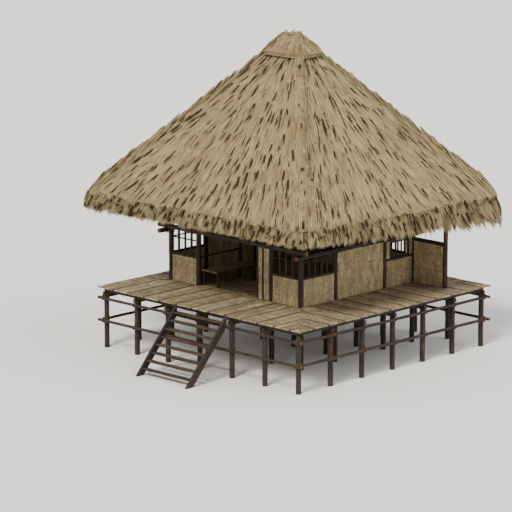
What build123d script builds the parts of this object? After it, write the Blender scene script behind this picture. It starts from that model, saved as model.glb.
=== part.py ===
from build123d import *
import math
import os

# A timber house with a tall thatched hip roof, on a square deck that stands on posts.
# Millimetres, +Z up, origin on the ground under the middle of the deck.
# +X runs along the stair side to the near corner, +Y runs away from the stair side.

# Deck
bay = 1500
bays = 6
deck_top = 2130
deck_overhang = 240
board_thickness = 50
deck_post_radius = 90
girt_depth = 140
girt_width = 120
bearer_depth = 140
bearer_width = 140
bearer_overhang = 110
bearer_gap = 20
rail_radius = 52
rail_end = 60
upper_rail_drop = 400
lower_rail_height = 950

# House plan: the veranda's width on each side, from the deck posts' line to the wall's centre line
veranda_left = 800
veranda_right = 2090
veranda_front = 2300
veranda_rear = 1180
house_post_radius = 90
jamb_radius = 58
bay_post_x = -2370
jamb_x = (460, 700)
near_room_x = 1070
side_post_y = (-560, 1860)

# Floor frame
ledger_width = 110
ledger_depth = 160
joist_width = 100
joist_count = 5
joist_inset = 650
floor_edge = 10
stump_columns = (-1, 0, 1)
stump_rows = (0, 1)

# Walls
wall_thickness = 60
sill_height = 900
sill_rail_depth = 80
sill_rail_width = 96
head_rail_drop = 130
head_rail_depth = 80
head_log_radius = 85
front_log_height = 1890
log_end = 420
small_window_side = 230
small_window_top = 260

# Side screen and its outer post
outer_post_x = 3890
outer_post_radius = 80
screen_beam_drop = 85
screen_beam_depth = 120
screen_beam_width = 100

# Bench in the open bay
bench_width = 750
bench_length = 1900
bench_height = 550
bench_board = 45
bench_leg = 70
bench_post_radius = 55
bench_post_height = 1250
back_rail_height = 960
back_rail_radius = 35

# Stair
stair_middle = 300
stair_width = 2400
stair_run = 1860
stair_rises = 9
stringer_width = 90
stringer_depth = 240
tread_depth = 230
tread_thickness = 45
tread_housing = 30
tread_inset = 25

# Roof
roof_pitch = 47
overhang = 2200
eave_underside = 4750
thatch_thickness = 285
hip_radius = 620
hip_radius_top = 150
hip_flats = 4
courses = 9
course_step = 60
lath_radius = 25
lath_spacing = 470
rafter_radius = 45
rafter_spacing = 620
rafter_tail = 120
hip_gap = 170
ridge_gap = 40
plate_radius = 80
purlin_radius = 55
eave_pole_inset = 720
collar_inset = 3650
ridge_pole_radius = 60
cap_overlap = 520
cap_thickness = 150
cap_radius = 380

# Straw that hangs below the eaves, and how far at each corner
fringe_width = 80
hang_rear_right = 850
hang_rear_left = 220
hang_front_left = 240
hang_front_right = 110

# Posts and roof poles are worked to this many flats
post_flats = 12
pole_flats = 8

# A round piece stands this far off what carries it, flat faces meet face to face
clearance = 0.3

# Worked out from the values above
post_line = bay * bays / 2
house_left = veranda_left - post_line
house_right = post_line - veranda_right
house_front = veranda_front - post_line
house_rear = post_line - veranda_rear
deck_edge = post_line + deck_overhang
board_underside = deck_top - board_thickness
girt_underside = board_underside - girt_depth
bearer_underside = girt_underside - bearer_depth
post_seat = house_post_radius + clearance
house_middle_x = (house_left + house_right) / 2
house_middle_y = (house_front + house_rear) / 2
house_corners = [(x, y) for x in (house_left, house_right) for y in (house_front, house_rear)]
floor_margin = post_seat + floor_edge
pitch_tan = math.tan(math.radians(roof_pitch))
pitch_cos = math.cos(math.radians(roof_pitch))
eave_left = house_left - overhang
eave_right = house_right + overhang
eave_front = house_front - overhang
eave_rear = house_rear + overhang
roof_half_depth = (eave_rear - eave_front) / 2
roof_half_width = (eave_right - eave_left) / 2
half_ridge = roof_half_width - roof_half_depth
thatch_drop = thatch_thickness / pitch_cos
hip_rafter_radius = lath_radius + rafter_radius
frame_depth = 2 * (lath_radius + rafter_radius) + 3 * clearance
grid = [bay * i - post_line for i in range(bays + 1)]


def log(start, end, radius):
    """A round pole between the centres of its two end faces."""
    axis = Vector(*end) - Vector(*start)
    return Solid.make_cylinder(radius, axis.length, Plane(origin=start, z_dir=axis))


def post(x, y, z0, z1, radius):
    """An upright adzed to flats that lie at the given radius, one of them facing each way."""
    plan = RegularPolygon(radius, post_flats, major_radius=False, rotation=180 / post_flats)
    return Pos(x, y, z0) * extrude(plan, amount=z1 - z0)


def pole(start, end, radius, facing):
    """A pole planed to flats, with one of them turned to the thatch over it."""
    axis = Vector(*end) - Vector(*start)
    section = RegularPolygon(radius, pole_flats, major_radius=False, rotation=180 / pole_flats)
    return extrude(Plane(origin=start, x_dir=facing, z_dir=axis) * section, amount=axis.length)


def hewn(start, end, width, depth, edge=10):
    """A squared timber with planed-off edges, its centre line from start to end."""
    axis = Vector(*end) - Vector(*start)
    across = Vector(0, 0, 1).cross(axis)
    section = chamfer(Rectangle(width, depth).vertices(), edge)
    plane = Plane(origin=start, x_dir=across, z_dir=axis)
    return extrude(plane * section, amount=axis.length)


def slab(x0, x1, y0, y1, z0, z1):
    """A plain board or panel between two corners."""
    block = Box(x1 - x0, y1 - y0, z1 - z0, align=(Align.MIN, Align.MIN, Align.MIN))
    return Pos(x0, y0, z0) * block


def prism(points, z0, z1):
    """A flat plate with the given plan outline."""
    outline = Polyline(*points, close=True)
    return Pos(0, 0, z0) * extrude(make_face(outline), amount=z1 - z0)


def write(name, solids):
    """Writes one node, from one solid or from several that don't touch."""
    pieces = [piece for item in solids for piece in item.solids()]
    export_step(Compound(label=name, children=pieces), f"parts/{name}.step")


def ring_side(side, inner, outer, z0, z1):
    """One mitred side of a ring that lies between two rectangles (left, right, front, rear)."""
    il, ir, fi, ri = inner
    ol, right, fo, ro = outer
    plans = {
        "stair": [(ol, fo), (right, fo), (ir, fi), (il, fi)],
        "right": [(right, fo), (right, ro), (ir, ri), (ir, fi)],
        "rear": [(right, ro), (ol, ro), (il, ri), (ir, ri)],
        "left": [(ol, ro), (ol, fo), (il, fi), (il, ri)],
    }
    return prism(plans[side], z0, z1)


def butted_ring(inner, outer, z0, z1):
    """Four timbers round a rectangle, the stair and rear ones run through and the others butt between them."""
    left, right, front, rear = inner
    x0, x1, y0, y1 = outer
    return [
        slab(x0, x1, y0, front, z0, z1),
        slab(x0, x1, rear, y1, z0, z1),
        slab(x0, left, front + clearance, rear - clearance, z0, z1),
        slab(right, x1, front + clearance, rear - clearance, z0, z1),
    ]


def grown(margin):
    """The house's plan rectangle, moved outwards by a margin."""
    return (
        house_left - margin,
        house_right + margin,
        house_front - margin,
        house_rear + margin,
    )


def squared(half):
    """A square round the middle of the deck."""
    return (-half, half, -half, half)


def between(inner, outer, share):
    """A rectangle part of the way from one rectangle to another."""
    return tuple(a + (b - a) * share for a, b in zip(inner, outer))


def house_post_places():
    """The centres of every post that runs from the ground to the roof."""
    front_row = [(x, y) for x in (bay_post_x, near_room_x) for y in (house_front, house_rear)]
    side_rows = [(x, y) for x in (house_left, house_right) for y in side_post_y]
    return house_corners, front_row + side_rows


def post_holes(z0, z1, radius=house_post_radius):
    """The space that the house posts need through the floor and the walls."""
    corners, others = house_post_places()
    return [post(x, y, z0, z1, radius + clearance) for x, y in corners + others]


def deck_posts():
    places = [(x, y) for x in grid for y in grid if post_line in (abs(x), abs(y))]
    write("deck_posts", [post(*place, 0, bearer_underside, deck_post_radius) for place in places])
    stumps = [(bay * i, bay * j) for i in stump_columns for j in stump_rows]
    write("floor_stumps", [post(*place, 0, bearer_underside, deck_post_radius) for place in stumps])


def deck_rails():
    """Round rails on the outer faces of the deck posts, the side ones butted between the others."""
    line = post_line + deck_post_radius + clearance + rail_radius
    end = line + rail_radius + rail_end
    butt = line - rail_radius - clearance
    heights = {"upper": deck_top - upper_rail_drop, "lower": lower_rail_height}
    for level, z in heights.items():
        along = [log((-end, y, z), (end, y, z), rail_radius) for y in (-line, line)]
        sides = [log((x, -butt, z), (x, butt, z), rail_radius) for x in (-line, line)]
        write(f"{level}_rails", along + sides)


def corner_bearer(x, y, corner):
    """The bearer under a mitre of the deck, from the corner post to the house's corner."""
    outward = Vector(x, y) - Vector(*corner)
    unit = outward.normalized()
    start = Vector(*corner) + unit * (post_seat + bearer_gap)
    end = Vector(x, y) + unit * bearer_overhang
    z = bearer_underside + bearer_depth / 2
    return hewn((start.X, start.Y, z), (end.X, end.Y, z), bearer_width, bearer_depth)


def mitre_point(across, low, high, side):
    """Where a bearer outside the house's width meets the mitre that runs to the deck's corner."""
    near = low if across < low else high
    share = (across - near) / (math.copysign(post_line, near) - near)
    return side + (math.copysign(post_line, side) - side) * share


def bearers():
    """Timbers on the post tops, square to each side of the deck, with one under each mitre."""
    z = bearer_underside + bearer_depth / 2
    reach = post_line + bearer_overhang
    corners = []
    for hx, hy in house_corners:
        corners.append(corner_bearer(math.copysign(post_line, hx), math.copysign(post_line, hy), (hx, hy)))
    write("corner_bearers", corners)
    inner_front = house_front + post_seat
    inner_rear = house_rear - post_seat
    lines = []
    for p in grid[1:-1]:
        if house_front < p < house_rear:
            lines.append(hewn((-reach, p, z), (reach, p, z), bearer_width, bearer_depth))
        else:
            left = mitre_point(p, house_front, house_rear, house_left)
            right = mitre_point(p, house_front, house_rear, house_right)
            lines.append(hewn((-reach, p, z), (left, p, z), bearer_width, bearer_depth))
            lines.append(hewn((right, p, z), (reach, p, z), bearer_width, bearer_depth))
    for p in grid[1:-1]:
        front_end = inner_front
        rear_end = inner_rear
        if not house_left < p < house_right:
            front_end = mitre_point(p, house_left, house_right, house_front)
            rear_end = mitre_point(p, house_left, house_right, house_rear)
        lines.append(hewn((p, -reach, z), (p, front_end, z), bearer_width, bearer_depth))
        lines.append(hewn((p, rear_end, z), (p, reach, z), bearer_width, bearer_depth))
    write("deck_bearers", [line - corners for line in lines])


def girts():
    """Three rings of timbers that carry the deck boards."""
    z0 = girt_underside
    z1 = board_underside
    rim = squared(post_line + girt_width / 2)
    rim_inner = squared(post_line - girt_width / 2)
    inner_outer = grown(post_seat + girt_width)
    inner = grown(post_seat)
    middle = between(inner_outer, rim_inner, 0.5)
    half = girt_width / 2
    middle_outer = (middle[0] - half, middle[1] + half, middle[2] - half, middle[3] + half)
    middle_inner = (middle[0] + half, middle[1] - half, middle[2] + half, middle[3] - half)
    write("rim_beams", butted_ring(rim_inner, rim, z0, z1))
    inside = butted_ring(inner, inner_outer, z0, z1)
    write("deck_girts", inside + butted_ring(middle_inner, middle_outer, z0, z1))


def deck_panels():
    """The boarded deck, four panels that meet on the mitres."""
    inner = grown(floor_margin)
    outer = squared(deck_edge)
    for side in ("stair", "right", "rear", "left"):
        write(f"deck_{side}_side", [ring_side(side, inner, outer, board_underside, deck_top)])


def floor_frame():
    """Ledgers tied outside the house posts, joists on the long bearers and the floor with its post holes."""
    z1 = bearer_underside
    z0 = z1 - ledger_depth
    outer = grown(post_seat + ledger_width)
    inner = grown(post_seat)
    write("floor_ledgers", butted_ring(inner, outer, z0, z1))
    pitch = (house_right - house_left - 2 * joist_inset) / (joist_count - 1)
    z = girt_underside + girt_depth / 2
    joists = []
    for i in range(joist_count):
        x = house_left + joist_inset + pitch * i
        ends = (x, house_front - post_seat, z), (x, house_rear + post_seat, z)
        joists.append(hewn(*ends, joist_width, girt_depth))
    write("floor_joists", joists)
    l, r, f, b = grown(floor_margin)
    floor = slab(l, r, f, b, board_underside, deck_top) - post_holes(board_underside, deck_top)
    write("house_floor", [floor])


def wall_plate_height():
    """The height of the wall plates' centre line, under the rafters."""
    return slope_point("stair", 0, overhang, frame_depth + plate_radius)[2]


def house_posts():
    top = wall_plate_height() - plate_radius - clearance
    corners, others = house_post_places()
    write("corner_posts", [post(*place, 0, top, house_post_radius) for place in corners])
    write("wall_posts", [post(*place, 0, top, house_post_radius) for place in others])
    top = deck_top + front_log_height + head_log_radius
    write("bay_jambs", [post(x, house_front, deck_top, top, jamb_radius) for x in jamb_x])


def panel(start, end, z0, z1, thickness):
    """An upright panel over a stretch of wall line."""
    (x0, y0), (x1, y1) = start, end
    half = thickness / 2
    if y0 == y1:
        return slab(x0, x1, y0 - half, y0 + half, z0, z1)
    return slab(x0 - half, x0 + half, y0, y1, z0, z1)


def small_window_panel(start, end, z0, z1):
    """An upper panel with a smaller window cut up from the sill rail."""
    (x0, y0), (x1, y1) = start, end
    whole = panel(start, end, z0, z1, wall_thickness)
    side = house_post_radius + small_window_side
    hole = slab(x0 - side, x1 + side, y0 + side, y1 - side, z0 - 1, z1 - small_window_top)
    return whole - hole


def walls():
    """Panels between the posts: low under the windows, full height elsewhere, none in the open bay."""
    floor = deck_top
    sill = deck_top + sill_height
    rail_top = sill + sill_rail_depth
    head = deck_top + front_log_height - head_rail_drop
    head_top = head + head_rail_depth
    low_y, high_y = side_post_y
    front = house_front
    rear = house_rear
    jambs = [post(x, front, floor, head_top, jamb_radius + clearance) for x in jamb_x]
    holes = post_holes(floor, head_top) + jambs
    windows = {
        "stair": [((house_left, front), (bay_post_x, front)), ((near_room_x, front), (house_right, front))],
        "rear": [((house_left, rear), (bay_post_x, rear)), ((near_room_x, rear), (house_right, rear))],
        "right": [((house_right, front), (house_right, low_y))],
        "left": [((house_left, front), (house_left, low_y))],
    }
    small = {
        "right": [((house_right, high_y), (house_right, rear))],
        "left": [((house_left, high_y), (house_left, rear))],
    }
    full = {
        "stair": [((jamb_x[0], front), (jamb_x[1], front)), ((jamb_x[1], front), (near_room_x, front))],
        "rear": [((bay_post_x, rear), (near_room_x, rear))],
        "right": [((house_right, low_y), (house_right, high_y))],
        "left": [((house_left, low_y), (house_left, high_y))],
    }
    sills = []
    heads = []
    uppers = []
    for side in ("stair", "right", "rear", "left"):
        low = [panel(*stretch, floor, sill, wall_thickness) for stretch in windows[side]]
        low += [panel(*stretch, floor, sill, wall_thickness) for stretch in small.get(side, [])]
        low += [panel(*stretch, floor, head, wall_thickness) for stretch in full[side]]
        write(f"wall_{side}_side", [piece - holes for piece in low])
        openings = windows[side] + small.get(side, [])
        sills += [panel(*stretch, sill, rail_top, sill_rail_width) - holes for stretch in openings]
        tops = openings + full[side]
        heads += [panel(*stretch, head, head_top, sill_rail_width) - holes for stretch in tops]
        uppers += [small_window_panel(*s, rail_top, head) - holes for s in small.get(side, [])]
    write("sill_rails", sills)
    write("head_rails", heads)
    write("small_window_panels", uppers)


def head_logs():
    """Round beams on the outer faces of the posts, the front and rear ones over the side ones."""
    offset = post_seat + head_log_radius
    z = deck_top + front_log_height
    x0 = house_left - log_end
    x1 = house_right + log_end
    along = [
        log((x0, y, z), (x1, y, z), head_log_radius)
        for y in (house_front - offset, house_rear + offset)
    ]
    z -= 2 * head_log_radius + clearance
    y0 = house_front - log_end
    y1 = house_rear + log_end
    across = [
        log((x, y0, z), (x, y1, z), head_log_radius)
        for x in (house_left - offset, house_right + offset)
    ]
    write("head_logs", along + across)


def slope_point(side, along, inset, depth):
    """A point under one roof slope: its place along the eave, its distance in from it and its depth below the thatch."""
    z = eave_underside + inset * pitch_tan - depth / pitch_cos
    spots = {
        "stair": (along, eave_front + inset, z),
        "rear": (along, eave_rear - inset, z),
        "left": (eave_left + inset, along, z),
        "right": (eave_right - inset, along, z),
    }
    return spots[side]


def slope_normal(side):
    """The direction that one roof slope faces."""
    out = {"stair": (0, -1), "rear": (0, 1), "left": (-1, 0), "right": (1, 0)}[side]
    return (out[0] * pitch_tan, out[1] * pitch_tan, 1)


def slope_ring(inset, radius, depth):
    """Four level poles under the slopes, the side ones butted between the others."""
    front = eave_front + inset
    rear = eave_rear - inset
    left = eave_left + inset
    right = eave_right - inset
    z = slope_point("stair", 0, inset, depth)[2]
    butt = radius + clearance
    along = [log((left - radius, y, z), (right + radius, y, z), radius) for y in (front, rear)]
    sides = [log((x, front + butt, z), (x, rear - butt, z), radius) for x in (left, right)]
    return along, sides


def side_screen():
    """The outer post under the eave pole, its beam back to the house and the screen below it."""
    pole_z = slope_point("right", 0, eave_pole_inset, frame_depth + purlin_radius)[2]
    top = pole_z - purlin_radius - clearance
    write("outer_post", [post(outer_post_x, house_rear, deck_top, top, outer_post_radius)])
    x0 = house_right
    x1 = outer_post_x
    z1 = deck_top + front_log_height - 3 * head_log_radius - clearance - screen_beam_drop
    z0 = z1 - screen_beam_depth
    gap = post(x1, house_rear, deck_top, z1, outer_post_radius + clearance)
    holes = post_holes(deck_top, z1) + [gap]
    stretch = ((x0, house_rear), (x1, house_rear))
    write("screen_beam", [panel(*stretch, z0, z1, screen_beam_width) - holes])
    write("side_screen", [panel(*stretch, deck_top, z0, wall_thickness) - holes])


def bench():
    """A boarded bench behind the bay post, with a back rail to a short post of its own."""
    x0 = bay_post_x + post_seat
    x1 = x0 + bench_width
    y0 = house_front + wall_thickness / 2
    y1 = y0 + bench_length
    top = deck_top + bench_height
    under = top - bench_board
    write("bench_seat", [slab(x0, x1, y0, y1, under, top)])
    legs = []
    for x in (x0, x1 - bench_leg):
        for y in (y0 + bench_leg, y1 - 2 * bench_leg):
            legs.append(slab(x, x + bench_leg, y, y + bench_leg, deck_top, under))
    write("bench_legs", legs)
    post_y = y1 + bench_post_radius + clearance
    post_top = deck_top + bench_post_height
    upright = post(bay_post_x, post_y, deck_top, post_top, bench_post_radius)
    z = deck_top + back_rail_height
    start = house_front + post_seat
    end = post_y - bench_post_radius - clearance
    write("bench_back", [upright, log((bay_post_x, start, z), (bay_post_x, end, z), back_rail_radius)])


def stair():
    """Two sloping stringers from the deck's edge to the ground, with treads housed in them."""
    top_y = -deck_edge
    foot_y = top_y - stair_run
    slope = deck_top / stair_run
    drop = stringer_depth / math.cos(math.atan(slope))
    profile = [
        (top_y, deck_top),
        (foot_y, 0),
        (foot_y + drop / slope, 0),
        (top_y, deck_top - drop),
    ]
    face = make_face(Plane.YZ * Polyline(*profile, close=True))
    board = extrude(face, amount=stringer_width, dir=(1, 0, 0))
    inner = stair_width / 2 - stringer_width
    stringers = [
        Pos(stair_middle + inner, 0, 0) * board,
        Pos(stair_middle - inner - stringer_width, 0, 0) * board,
    ]
    rise = deck_top / stair_rises
    reach = inner + tread_housing
    treads = []
    for i in range(1, stair_rises):
        z = rise * i
        y = foot_y + z / slope + tread_inset
        treads.append(
            slab(stair_middle - reach, stair_middle + reach, y, y + tread_depth, z - tread_thickness, z)
        )
    write("stair_stringers", [stringer - treads for stringer in stringers])
    write("stair_treads", treads)


def roof_frame():
    """Wall plates, eave poles, collar purlins and ridge pole, with the hip rafters over them."""
    rings = {
        "wall_plates": (overhang, plate_radius),
        "eave_poles": (eave_pole_inset, purlin_radius),
        "collar_purlins": (collar_inset, purlin_radius),
    }
    for name, (inset, radius) in rings.items():
        along, sides = slope_ring(inset, radius, frame_depth + radius)
        write(name, along + sides)
    z = slope_point("stair", 0, roof_half_depth, frame_depth + ridge_pole_radius)[2]
    x = house_middle_x
    y = house_middle_y
    write("ridge_pole", [log((x - half_ridge, y, z), (x + half_ridge, y, z), ridge_pole_radius)])
    foot = hip_radius * (1 - math.cos(math.pi / 4)) + fringe_width + hip_rafter_radius
    top = roof_half_depth - hip_gap
    poles = []
    for sx, x in ((1, eave_left), (-1, eave_right)):
        for sy, y in ((1, eave_front), (-1, eave_rear)):
            ends = []
            for inset in (foot, top):
                z = slope_point("stair", 0, inset, hip_rafter_radius + 2 * clearance)[2]
                ends.append((x + sx * inset, y + sy * inset, z))
            poles.append(log(*ends, hip_rafter_radius))
    write("hip_rafters", poles)


def eave_span(side):
    """The two ends of one side's eave."""
    return (eave_left, eave_right) if side in ("stair", "rear") else (eave_front, eave_rear)


def rafters():
    """Common rafters, and jack rafters that stop beside the hip rafters, under all four slopes."""
    depth = 2 * lath_radius + rafter_radius + 2 * clearance
    poles = []
    for side in ("stair", "right", "rear", "left"):
        low, high = eave_span(side)
        count = int((high - low) / 2 / rafter_spacing)
        for i in range(-count, count + 1):
            along = (low + high) / 2 + rafter_spacing * i
            to_hip = min(along - low, high - along) - hip_gap
            inset = min(to_hip, roof_half_depth - ridge_gap)
            if inset > eave_pole_inset:
                start = slope_point(side, along, rafter_tail, depth)
                end = slope_point(side, along, inset, depth)
                poles.append(pole(start, end, rafter_radius, slope_normal(side)))
    write("rafters", poles)


def laths():
    """Thin level poles over the rafters, which the thatch is tied to."""
    count = int((roof_half_depth - 2 * rafter_tail - hip_gap) / lath_spacing)
    poles = []
    for side in ("stair", "right", "rear", "left"):
        low, high = eave_span(side)
        for i in range(count + 1):
            inset = 2 * rafter_tail + lath_spacing * i
            start = slope_point(side, low + inset + hip_gap, inset, lath_radius + clearance)
            end = slope_point(side, high - inset - hip_gap, inset, lath_radius + clearance)
            poles.append(pole(start, end, lath_radius, slope_normal(side)))
    write("thatch_laths", poles)


def thatch_profile():
    """One slope cut across, with a lap where each course of thatch ends over the one below."""
    top = eave_underside + thatch_drop
    pitch = roof_half_depth / courses
    points = [(0, eave_underside)]
    for i in range(courses):
        low = pitch * i
        high = pitch * (i + 1)
        points.append((low, top + low * pitch_tan))
        points.append((high, top + high * pitch_tan - course_step))
    points.append((roof_half_depth, eave_underside + roof_half_depth * pitch_tan))
    return points


def rounded_ring(inset, z, radius):
    """The roof's outline at one height, a rectangle whose corners are rounded in short flats."""
    across = roof_half_width - inset - radius
    deep = roof_half_depth - inset - radius
    points = []
    for corner, (sx, sy) in enumerate([(1, 1), (-1, 1), (-1, -1), (1, -1)]):
        for i in range(hip_flats + 1):
            turn = math.pi / 2 * (corner + i / hip_flats)
            x = house_middle_x + sx * across + radius * math.cos(turn)
            y = house_middle_y + sy * deep + radius * math.sin(turn)
            points.append((x, y, z))
    return points


def through_rings(rings):
    """A flat-faced solid through outlines with the same count of points, from the lowest up."""
    faces = [make_face(Polyline(*ring, close=True)) for ring in (rings[0], rings[-1])]
    for low, high in zip(rings, rings[1:]):
        for i in range(len(low)):
            faces.append(make_face(Polyline(low[i - 1], low[i], high[i], high[i - 1], close=True)))
    return Solid(Shell([piece for item in faces for piece in item.faces()]))


def eave_ring(inset, z):
    """The roof's plan rectangle, moved inwards."""
    x0 = eave_left + inset
    x1 = eave_right - inset
    y0 = eave_front + inset
    y1 = eave_rear - inset
    return [(x1, y1, z), (x0, y1, z), (x0, y0, z), (x1, y0, z)]


def eave_fringe():
    """Straw that hangs under the eaves in eight lengths, one along each side and one round each corner."""
    top = eave_underside + hip_radius * pitch_tan
    under = through_rings([
        eave_ring(0, eave_underside - 2 * hang_rear_right),
        eave_ring(0, eave_underside),
        eave_ring(hip_radius, top),
    ])
    outer = rounded_ring(0, 0, hip_radius)
    inner = rounded_ring(fringe_width, 0, hip_radius - fringe_width)
    hangs = (hang_rear_right, hang_rear_left, hang_front_left, hang_front_right)
    steps = hip_flats + 1
    lengths = []
    for corner, hang in enumerate(hangs):
        arc = slice(corner * steps, (corner + 1) * steps)
        plan = [(x, y) for x, y, z in outer[arc] + inner[arc][::-1]]
        lengths.append(prism(plan, eave_underside - hang, top) & under)
        last = (corner + 1) * steps - 1
        following = (last + 1) % len(outer)
        ends = ((outer[last], outer[following]), (inner[last], inner[following]))
        share = clearance / math.dist(*ends[0])
        near = [between(start, end, share) for start, end in ends]
        far = [between(end, start, share) for start, end in ends]
        far_hang = hangs[(corner + 1) % len(hangs)]
        plan = [(near[0], hang), (far[0], far_hang), (far[1], far_hang), (near[1], hang)]
        low = [(spot[0], spot[1], eave_underside - drop) for spot, drop in plan]
        high = [(spot[0], spot[1], top) for spot, drop in plan]
        lengths.append(through_rings([low, high]) & under)
    write("eave_fringe", lengths)


def thatch_envelope():
    """The form that rounds the hips: wide at the eaves, tight at the ridge."""
    z = eave_underside + thatch_drop
    top_inset = roof_half_depth - hip_radius_top - 10
    return through_rings([
        rounded_ring(0, eave_underside - 10, hip_radius),
        rounded_ring(0, z, hip_radius),
        rounded_ring(top_inset, z + top_inset * pitch_tan, hip_radius_top),
    ])


def slope_form(side):
    """One slope of thatch before its hips are rounded, parted from its neighbours along the hips."""
    x0, x1 = eave_span(side)
    start = {
        "stair": Plane(origin=(x0, eave_front, 0), x_dir=(0, 1, 0), z_dir=(1, 0, 0)),
        "rear": Plane(origin=(x1, eave_rear, 0), x_dir=(0, -1, 0), z_dir=(-1, 0, 0)),
        "left": Plane(origin=(eave_left, x1, 0), x_dir=(1, 0, 0), z_dir=(0, -1, 0)),
        "right": Plane(origin=(eave_right, x0, 0), x_dir=(-1, 0, 0), z_dir=(0, 1, 0)),
    }
    face = make_face(start[side] * Polyline(*thatch_profile(), close=True))
    body = extrude(face, amount=x1 - x0, dir=start[side].z_dir)
    middle_left = (house_middle_x - half_ridge, house_middle_y)
    middle_right = (house_middle_x + half_ridge, house_middle_y)
    corners = {
        "stair": [(eave_left, eave_front), (eave_right, eave_front), middle_right, middle_left],
        "right": [(eave_right, eave_front), (eave_right, eave_rear), middle_right],
        "rear": [(eave_right, eave_rear), (eave_left, eave_rear), middle_left, middle_right],
        "left": [(eave_left, eave_rear), (eave_left, eave_front), middle_left],
    }
    wedge = prism(corners[side], eave_underside - 100, eave_underside + 2 * roof_half_depth * pitch_tan)
    return body & wedge


def thatch():
    """Four slopes of lapped thatch and the roll of straw that closes the ridge."""
    envelope = thatch_envelope()
    slopes = {side: slope_form(side) & envelope for side in ("stair", "right", "rear", "left")}
    for side, slope in slopes.items():
        write(f"thatch_{side}_side", [slope])
    ridge_z = eave_underside + thatch_drop + roof_half_depth * pitch_tan
    inset = roof_half_depth - cap_overlap
    cap = through_rings([
        rounded_ring(inset - cap_thickness, ridge_z - cap_overlap * pitch_tan, cap_radius),
        rounded_ring(inset + cap_overlap * 0.5, ridge_z - cap_overlap * 0.3, cap_radius * 0.4),
        rounded_ring(inset + cap_overlap * 0.75, ridge_z + cap_thickness, cap_radius * 0.2),
    ])
    for slope in slopes.values():
        cap = cap - slope
    write("ridge_cap", [max(cap.solids(), key=lambda piece: piece.volume)])


def main():
    os.makedirs("parts", exist_ok=True)
    deck_posts()
    deck_rails()
    bearers()
    girts()
    deck_panels()
    floor_frame()
    house_posts()
    walls()
    head_logs()
    side_screen()
    bench()
    stair()
    roof_frame()
    rafters()
    laths()
    thatch()
    eave_fringe()


main()
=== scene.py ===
import math

import bpy
import numpy as np
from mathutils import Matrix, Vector


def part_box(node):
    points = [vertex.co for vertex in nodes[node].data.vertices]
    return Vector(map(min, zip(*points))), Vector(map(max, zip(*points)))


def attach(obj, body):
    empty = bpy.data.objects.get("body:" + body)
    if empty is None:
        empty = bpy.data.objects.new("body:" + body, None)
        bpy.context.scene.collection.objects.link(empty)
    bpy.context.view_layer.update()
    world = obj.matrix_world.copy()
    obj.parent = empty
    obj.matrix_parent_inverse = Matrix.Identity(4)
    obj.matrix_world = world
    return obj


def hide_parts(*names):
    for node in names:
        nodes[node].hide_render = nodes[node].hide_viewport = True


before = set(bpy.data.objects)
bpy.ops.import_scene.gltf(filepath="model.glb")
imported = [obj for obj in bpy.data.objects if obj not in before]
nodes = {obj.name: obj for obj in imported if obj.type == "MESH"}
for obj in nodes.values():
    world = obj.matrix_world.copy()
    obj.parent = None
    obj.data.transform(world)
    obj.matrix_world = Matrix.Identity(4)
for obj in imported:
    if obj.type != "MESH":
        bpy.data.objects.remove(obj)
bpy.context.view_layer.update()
scene = bpy.context.scene
print("frame loaded, nodes:", len(nodes))


# camera at the drawing's angle, far off because its lines hardly converge
cameraSetup = {
    "azimuth": 44.395,
    "elevation": 12.304,
    "distance": 107.461,
    "target": (-1.811, 0.0, 2.876),
    "lens": 220.4,
    "clip": (1.0, 600.0),
}


def wayTo(turn, rise):
    # from the house towards a camera or lamp, from two angles in degrees
    turn, rise = math.radians(turn), math.radians(rise)
    return Vector((math.sin(turn) * math.cos(rise), -math.cos(turn) * math.cos(rise), math.sin(rise)))


def aim(thing, way):
    thing.rotation_euler = (-way).to_track_quat("-Z", "Y").to_euler()
    scene.collection.objects.link(thing)


def placeCamera(azimuth, elevation, distance, target, lens, clip):
    data = bpy.data.cameras.new("viewCamera")
    data.lens = lens
    data.sensor_width = 36.0
    data.clip_start, data.clip_end = clip
    camera = bpy.data.objects.new("viewCamera", data)
    way = wayTo(azimuth, elevation)
    camera.location = Vector(target) + way * distance
    aim(camera, way)
    scene.camera = camera


placeCamera(**cameraSetup)


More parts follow.
